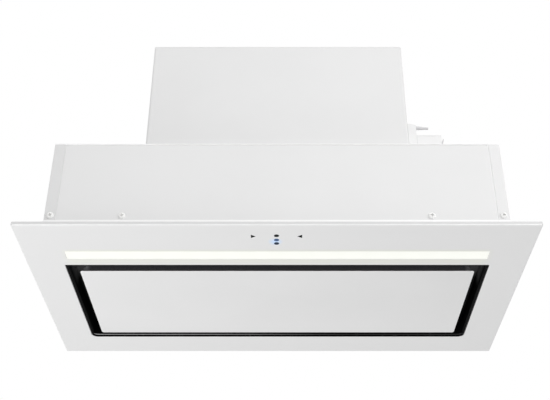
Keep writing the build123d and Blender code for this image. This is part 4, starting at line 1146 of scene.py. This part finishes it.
@dataclass
class Connection(Assembly):
    """The cowl, nozzle, connection box and clip beside the blower housing."""

    cowl_rise: float = 0.7
    cowl_drop: float = 2.0
    cowl_shoulder: float = 3.2
    cowl_more: float = 0.3
    cowl_round: float = 0.4
    nozzle_sides: int = 40
    nozzle_steps: int = 24
    nozzle_rings: int = 4
    nozzle_ring_depth: float = 0.12
    nozzle_ringed: float = 0.8
    nozzle_root_r: float = 2.6
    nozzle_tip_r: float = 1.5
    nozzle_bore_r: float = 1.0
    nozzle_more: float = 2.4
    nozzle_lift: float = 1.25
    nozzle_sag: float = 0.6
    tail_sides: int = 16
    tail_steps: int = 40
    tail_height: float = 43.2
    tail_in: float = 0.75
    tail_sunk: float = 1.0
    tail_lean: float = 3.05
    tail_lean_power: int = 6
    tail_width: float = 4.0
    tail_thick: float = 1.0
    tail_taper: float = 0.8
    tail_taper_power: int = 12
    tab: float = 1.5
    tab_place: float = 0.92
    tab_spread: float = 0.05
    dressed = (
        ("connection_box", Palette.white_plastic, Edge.MOULDED),
        ("connection_lid", Palette.white_plastic, Edge.MOULDED),
        ("terminal_block", Palette.white_plastic, Edge.SHEARED),
        ("cable_clip", Palette.grey_plastic, Edge.SHEARED),
    )

    def cowl(self) -> str:
        """Builds the cowl: its section, level at the wall and then sloping, carried from front to back."""
        box = Span.of("entry_cowl")
        right, top = box.x1 + self.cowl_more, box.z1 + self.cowl_rise
        shoulder = (box.x0 + self.cowl_shoulder, top)
        section = ((box.x0, box.z0), (right, box.z0), (right, top - self.cowl_drop), shoulder, (box.x0, top))
        skin = Surface()
        skin.solid([np.array([(x, y, z) for x, z in section]) for y in (box.y0, box.y1)])
        piece = skin.build("moulded_cowl", [self.palette.get(Palette.white_plastic)])
        round_edges(piece, self.cowl_round, segments=3)
        return self.place(piece, "root", Palette.white_plastic, "entry_cowl")

    def nozzle(self) -> str:
        """Builds the nozzle: a cone along X with shallow rings, open at its tip.

        Its radius goes evenly from the root to the tip, and dips by a cosine between the rings. Its
        middle line sinks evenly towards the tip.
        """
        box = Span.of("cable_nozzle")
        y = Span.of("entry_cowl").y0 + self.nozzle_root_r
        z = (box.z0 + box.z1) / 2 + self.nozzle_lift
        share = np.linspace(0, 1, self.nozzle_steps + 1)
        outer_x = box.x0 + share * (box.x1 + self.nozzle_more - box.x0)
        wave = (1 - np.cos(2 * math.pi * self.nozzle_rings * share)) / 2
        dip = self.nozzle_ring_depth * wave * (share < self.nozzle_ringed)
        outer_r = self.nozzle_root_r + (self.nozzle_tip_r - self.nozzle_root_r) * share - dip
        x = np.concatenate([outer_x, outer_x[::-1]])[:, None]
        r = np.concatenate([outer_r, np.full(share.size, self.nozzle_bore_r)])[:, None]
        middle_z = z - self.nozzle_sag * np.concatenate([share, share[::-1]])[:, None]
        turn = full_turn(self.nozzle_sides)
        tube = np.broadcast_arrays(x, y + r * np.cos(turn), middle_z + r * np.sin(turn))
        skin = Surface()
        skin.grid(np.stack(tube, axis=-1), closed=True)
        return self.form(skin, "nozzle_cone", "root", (Palette.grey_plastic,), "cable_nozzle")

    def strap_tail(self) -> str:
        """Builds the free end of the clip's strap: a thin strip that rises and leans to the right.

        At a share t of its height it stands a high power of t times the lean to the right, and its
        thickness swells by a bell curve round the thumb tab near its end.
        """
        box = Span.of("cable_clip")
        share = np.linspace(0, 1, self.tail_steps + 1)[:, None]
        middle_x = box.x0 + self.tail_in + self.tail_lean * share**self.tail_lean_power
        middle_y = (box.y0 + box.y1) / 2
        z = box.z1 - self.tail_sunk + self.tail_height * share
        bell = np.exp(-(((share - self.tab_place) / self.tab_spread) ** 2))
        half_x = self.tail_thick / 2 + self.tab / 2 * bell
        half_y = self.tail_width / 2 * np.sqrt(1 - self.tail_taper * share**self.tail_taper_power)
        turn = full_turn(self.tail_sides)
        strip = np.broadcast_arrays(middle_x + half_x * np.cos(turn), middle_y + half_y * np.sin(turn), z)
        skin = Surface()
        skin.solid(list(np.stack(strip, axis=-1)))
        return self.form(skin, "strap_tail", "root", (Palette.grey_plastic,))

    def forms(self) -> list[str]:
        """Builds the nozzle, the cowl and the strap's end."""
        return [self.nozzle(), self.cowl(), self.strap_tail()]


@dataclass
class Blower(Assembly):
    """The scroll, the impeller and the motor on its arms."""

    dressed = (
        ("scroll_left", Palette.blower_grey, Edge.SHEARED),
        ("scroll_right", Palette.blower_grey, Edge.SHEARED),
        ("impeller", Palette.dark_plastic, Edge.RAW),
        ("impeller_hub", Palette.brass, Edge.SHEARED),
        ("motor_shaft", Palette.steel, Edge.SHEARED),
        ("motor", Palette.motor_can, Edge.FOLDED),
        ("motor_arms", Palette.zinc, Edge.SHEARED),
        ("motor_bushes", Palette.rubber, Edge.SHEARED),
    )


@dataclass
class Outlet(Assembly):
    """The duct collar with its two backdraft flaps and their spindle."""

    dressed = (
        ("outlet_spigot", Palette.dark_plastic, Edge.FOLDED),
        ("flap_spindle", Palette.steel, Edge.SHEARED),
        ("flap_front", Palette.grey_plastic, Edge.SHEARED),
        ("flap_rear", Palette.grey_plastic, Edge.SHEARED),
    )


@dataclass
class Electronics(Assembly):
    """The control box, the light driver and the capacitor under the deck."""

    dressed = (
        ("control_box", Palette.dark_plastic, Edge.FOLDED),
        ("control_lid", Palette.dark_plastic, Edge.FOLDED),
        ("control_board", Palette.board, Edge.SHEARED),
        ("board_components", Palette.dark_plastic, Edge.FOLDED),
        ("light_driver", Palette.white_plastic, Edge.MOULDED),
        ("capacitor", Palette.white_plastic, Edge.MOULDED),
        ("capacitor_strap", Palette.zinc, Edge.SHEARED),
    )


@dataclass(frozen=True)
class Lamp:
    """A soft square lamp: its place and aim in metres, its size in metres and its power in watts."""

    name: str
    place: tuple[float, float, float]
    aim: tuple[float, float, float]
    size: float
    power: float

    def build(self) -> None:
        """Makes the lamp and turns it at its aim."""
        data = bpy.data.lights.new(self.name, "AREA")
        data.size = self.size
        data.energy = self.power
        lamp = bpy.data.objects.new(self.name, data)
        lamp.location = self.place
        lamp.rotation_euler = (Vector(self.aim) - Vector(self.place)).to_track_quat("-Z", "Y").to_euler()
        lamp.visible_camera = False
        bpy.context.scene.collection.objects.link(lamp)


@dataclass
class Studio:
    """The camera at the photograph's place, the lamps, the pale floor and the white surround."""

    camera_place: tuple[float, float, float] = (0.0072, -1.0981, -0.5679)
    pitch_deg: float = 32.98
    lens: float = 63.47
    axis_shift: float = -8.2
    surround: float = 0.623
    floor_z: float = -2.6
    floor_half: float = 9.0
    floor_corner: float = 0.9
    floor_glow: float = 0.3
    lamps: Sequence[Lamp] = (
        Lamp("key_right", (1.15, -1.3, 0.45), (0.2, 0.0, 0.15), 1.0, 9.3),
        Lamp("fill_below", (-0.9, -0.5, -1.0), (-0.2, 0.0, 0.0), 1.0, 6.0),
        Lamp("top_front", (0.2, -2.2, 1.6), (0.0, 0.0, 0.2), 1.6, 9.1),
    )

    def camera(self) -> None:
        """Makes the camera, level across and pitched up at the plate."""
        data = bpy.data.cameras.new("photo_camera")
        data.sensor_width = 36.0
        data.lens = self.lens
        data.shift_x = self.axis_shift / PHOTO_WIDTH
        data.clip_start = 0.01
        data.clip_end = 100.0
        camera = bpy.data.objects.new("photo_camera", data)
        camera.location = self.camera_place
        camera.rotation_euler = (math.radians(90 + self.pitch_deg), 0, 0)
        bpy.context.scene.collection.objects.link(camera)
        bpy.context.scene.camera = camera

    def white_surround(self) -> None:
        """Makes the world: white where it is seen, softer where it only lights."""
        world = bpy.data.worlds.new("surround")
        world.use_nodes = True
        tree = Tree(world.node_tree)
        mix = tree.add("ShaderNodeMixShader")
        tree.feed(tree.seen(), mix.inputs[0])
        for index, strength in ((1, self.surround), (2, 1.0)):
            background = tree.add("ShaderNodeBackground")
            tree.feed(WHITE, background.inputs["Color"])
            tree.feed(strength, background.inputs["Strength"])
            tree.feed(background.outputs[0], mix.inputs[index])
        tree.feed(mix.outputs[0], tree.add("ShaderNodeOutputWorld").inputs["Surface"])
        bpy.context.scene.world = world

    def floor(self) -> None:
        """Makes a wide pale floor far below the hood."""
        half, corner = self.floor_half / MM, self.floor_corner / MM
        skin = Surface()
        skin.cap(lift(round_rect(-half, half, -half, half, corner), self.floor_z / MM))
        graph = Graph("pale_floor")
        glow = graph.math("MULTIPLY", graph.seen(), self.floor_glow)
        graph.set(Base_Color=paint(244, 244, 244), Roughness=0.9)
        graph.set(Emission_Color=WHITE, Emission_Strength=glow)
        floor = skin.build("pale_floor", [graph.material])

    def build(self) -> None:
        """Sets up the whole studio."""
        bpy.context.scene.view_settings.view_transform = "Standard"
        self.camera()
        self.white_surround()
        self.floor()
        for lamp in self.lamps:
            lamp.build()


def main() -> None:
    """Builds the studio and each sub-assembly in order, and reports every piece."""
    logging.basicConfig(level=logging.INFO, format="%(message)s")
    Studio().build()
    palette = Palette()
    kinds = (
        GlassPlate, LightStrip, SuctionFrame, CoverPanel, GreaseFilter, BodyCase,
        BlowerHousing, Screws, Connection, Blower, Outlet, Electronics,
    )
    for kind in kinds:
        for piece in kind(palette).build():
            log.info("%s: %s", kind.__name__, piece)


if __name__ == "__main__":
    main()
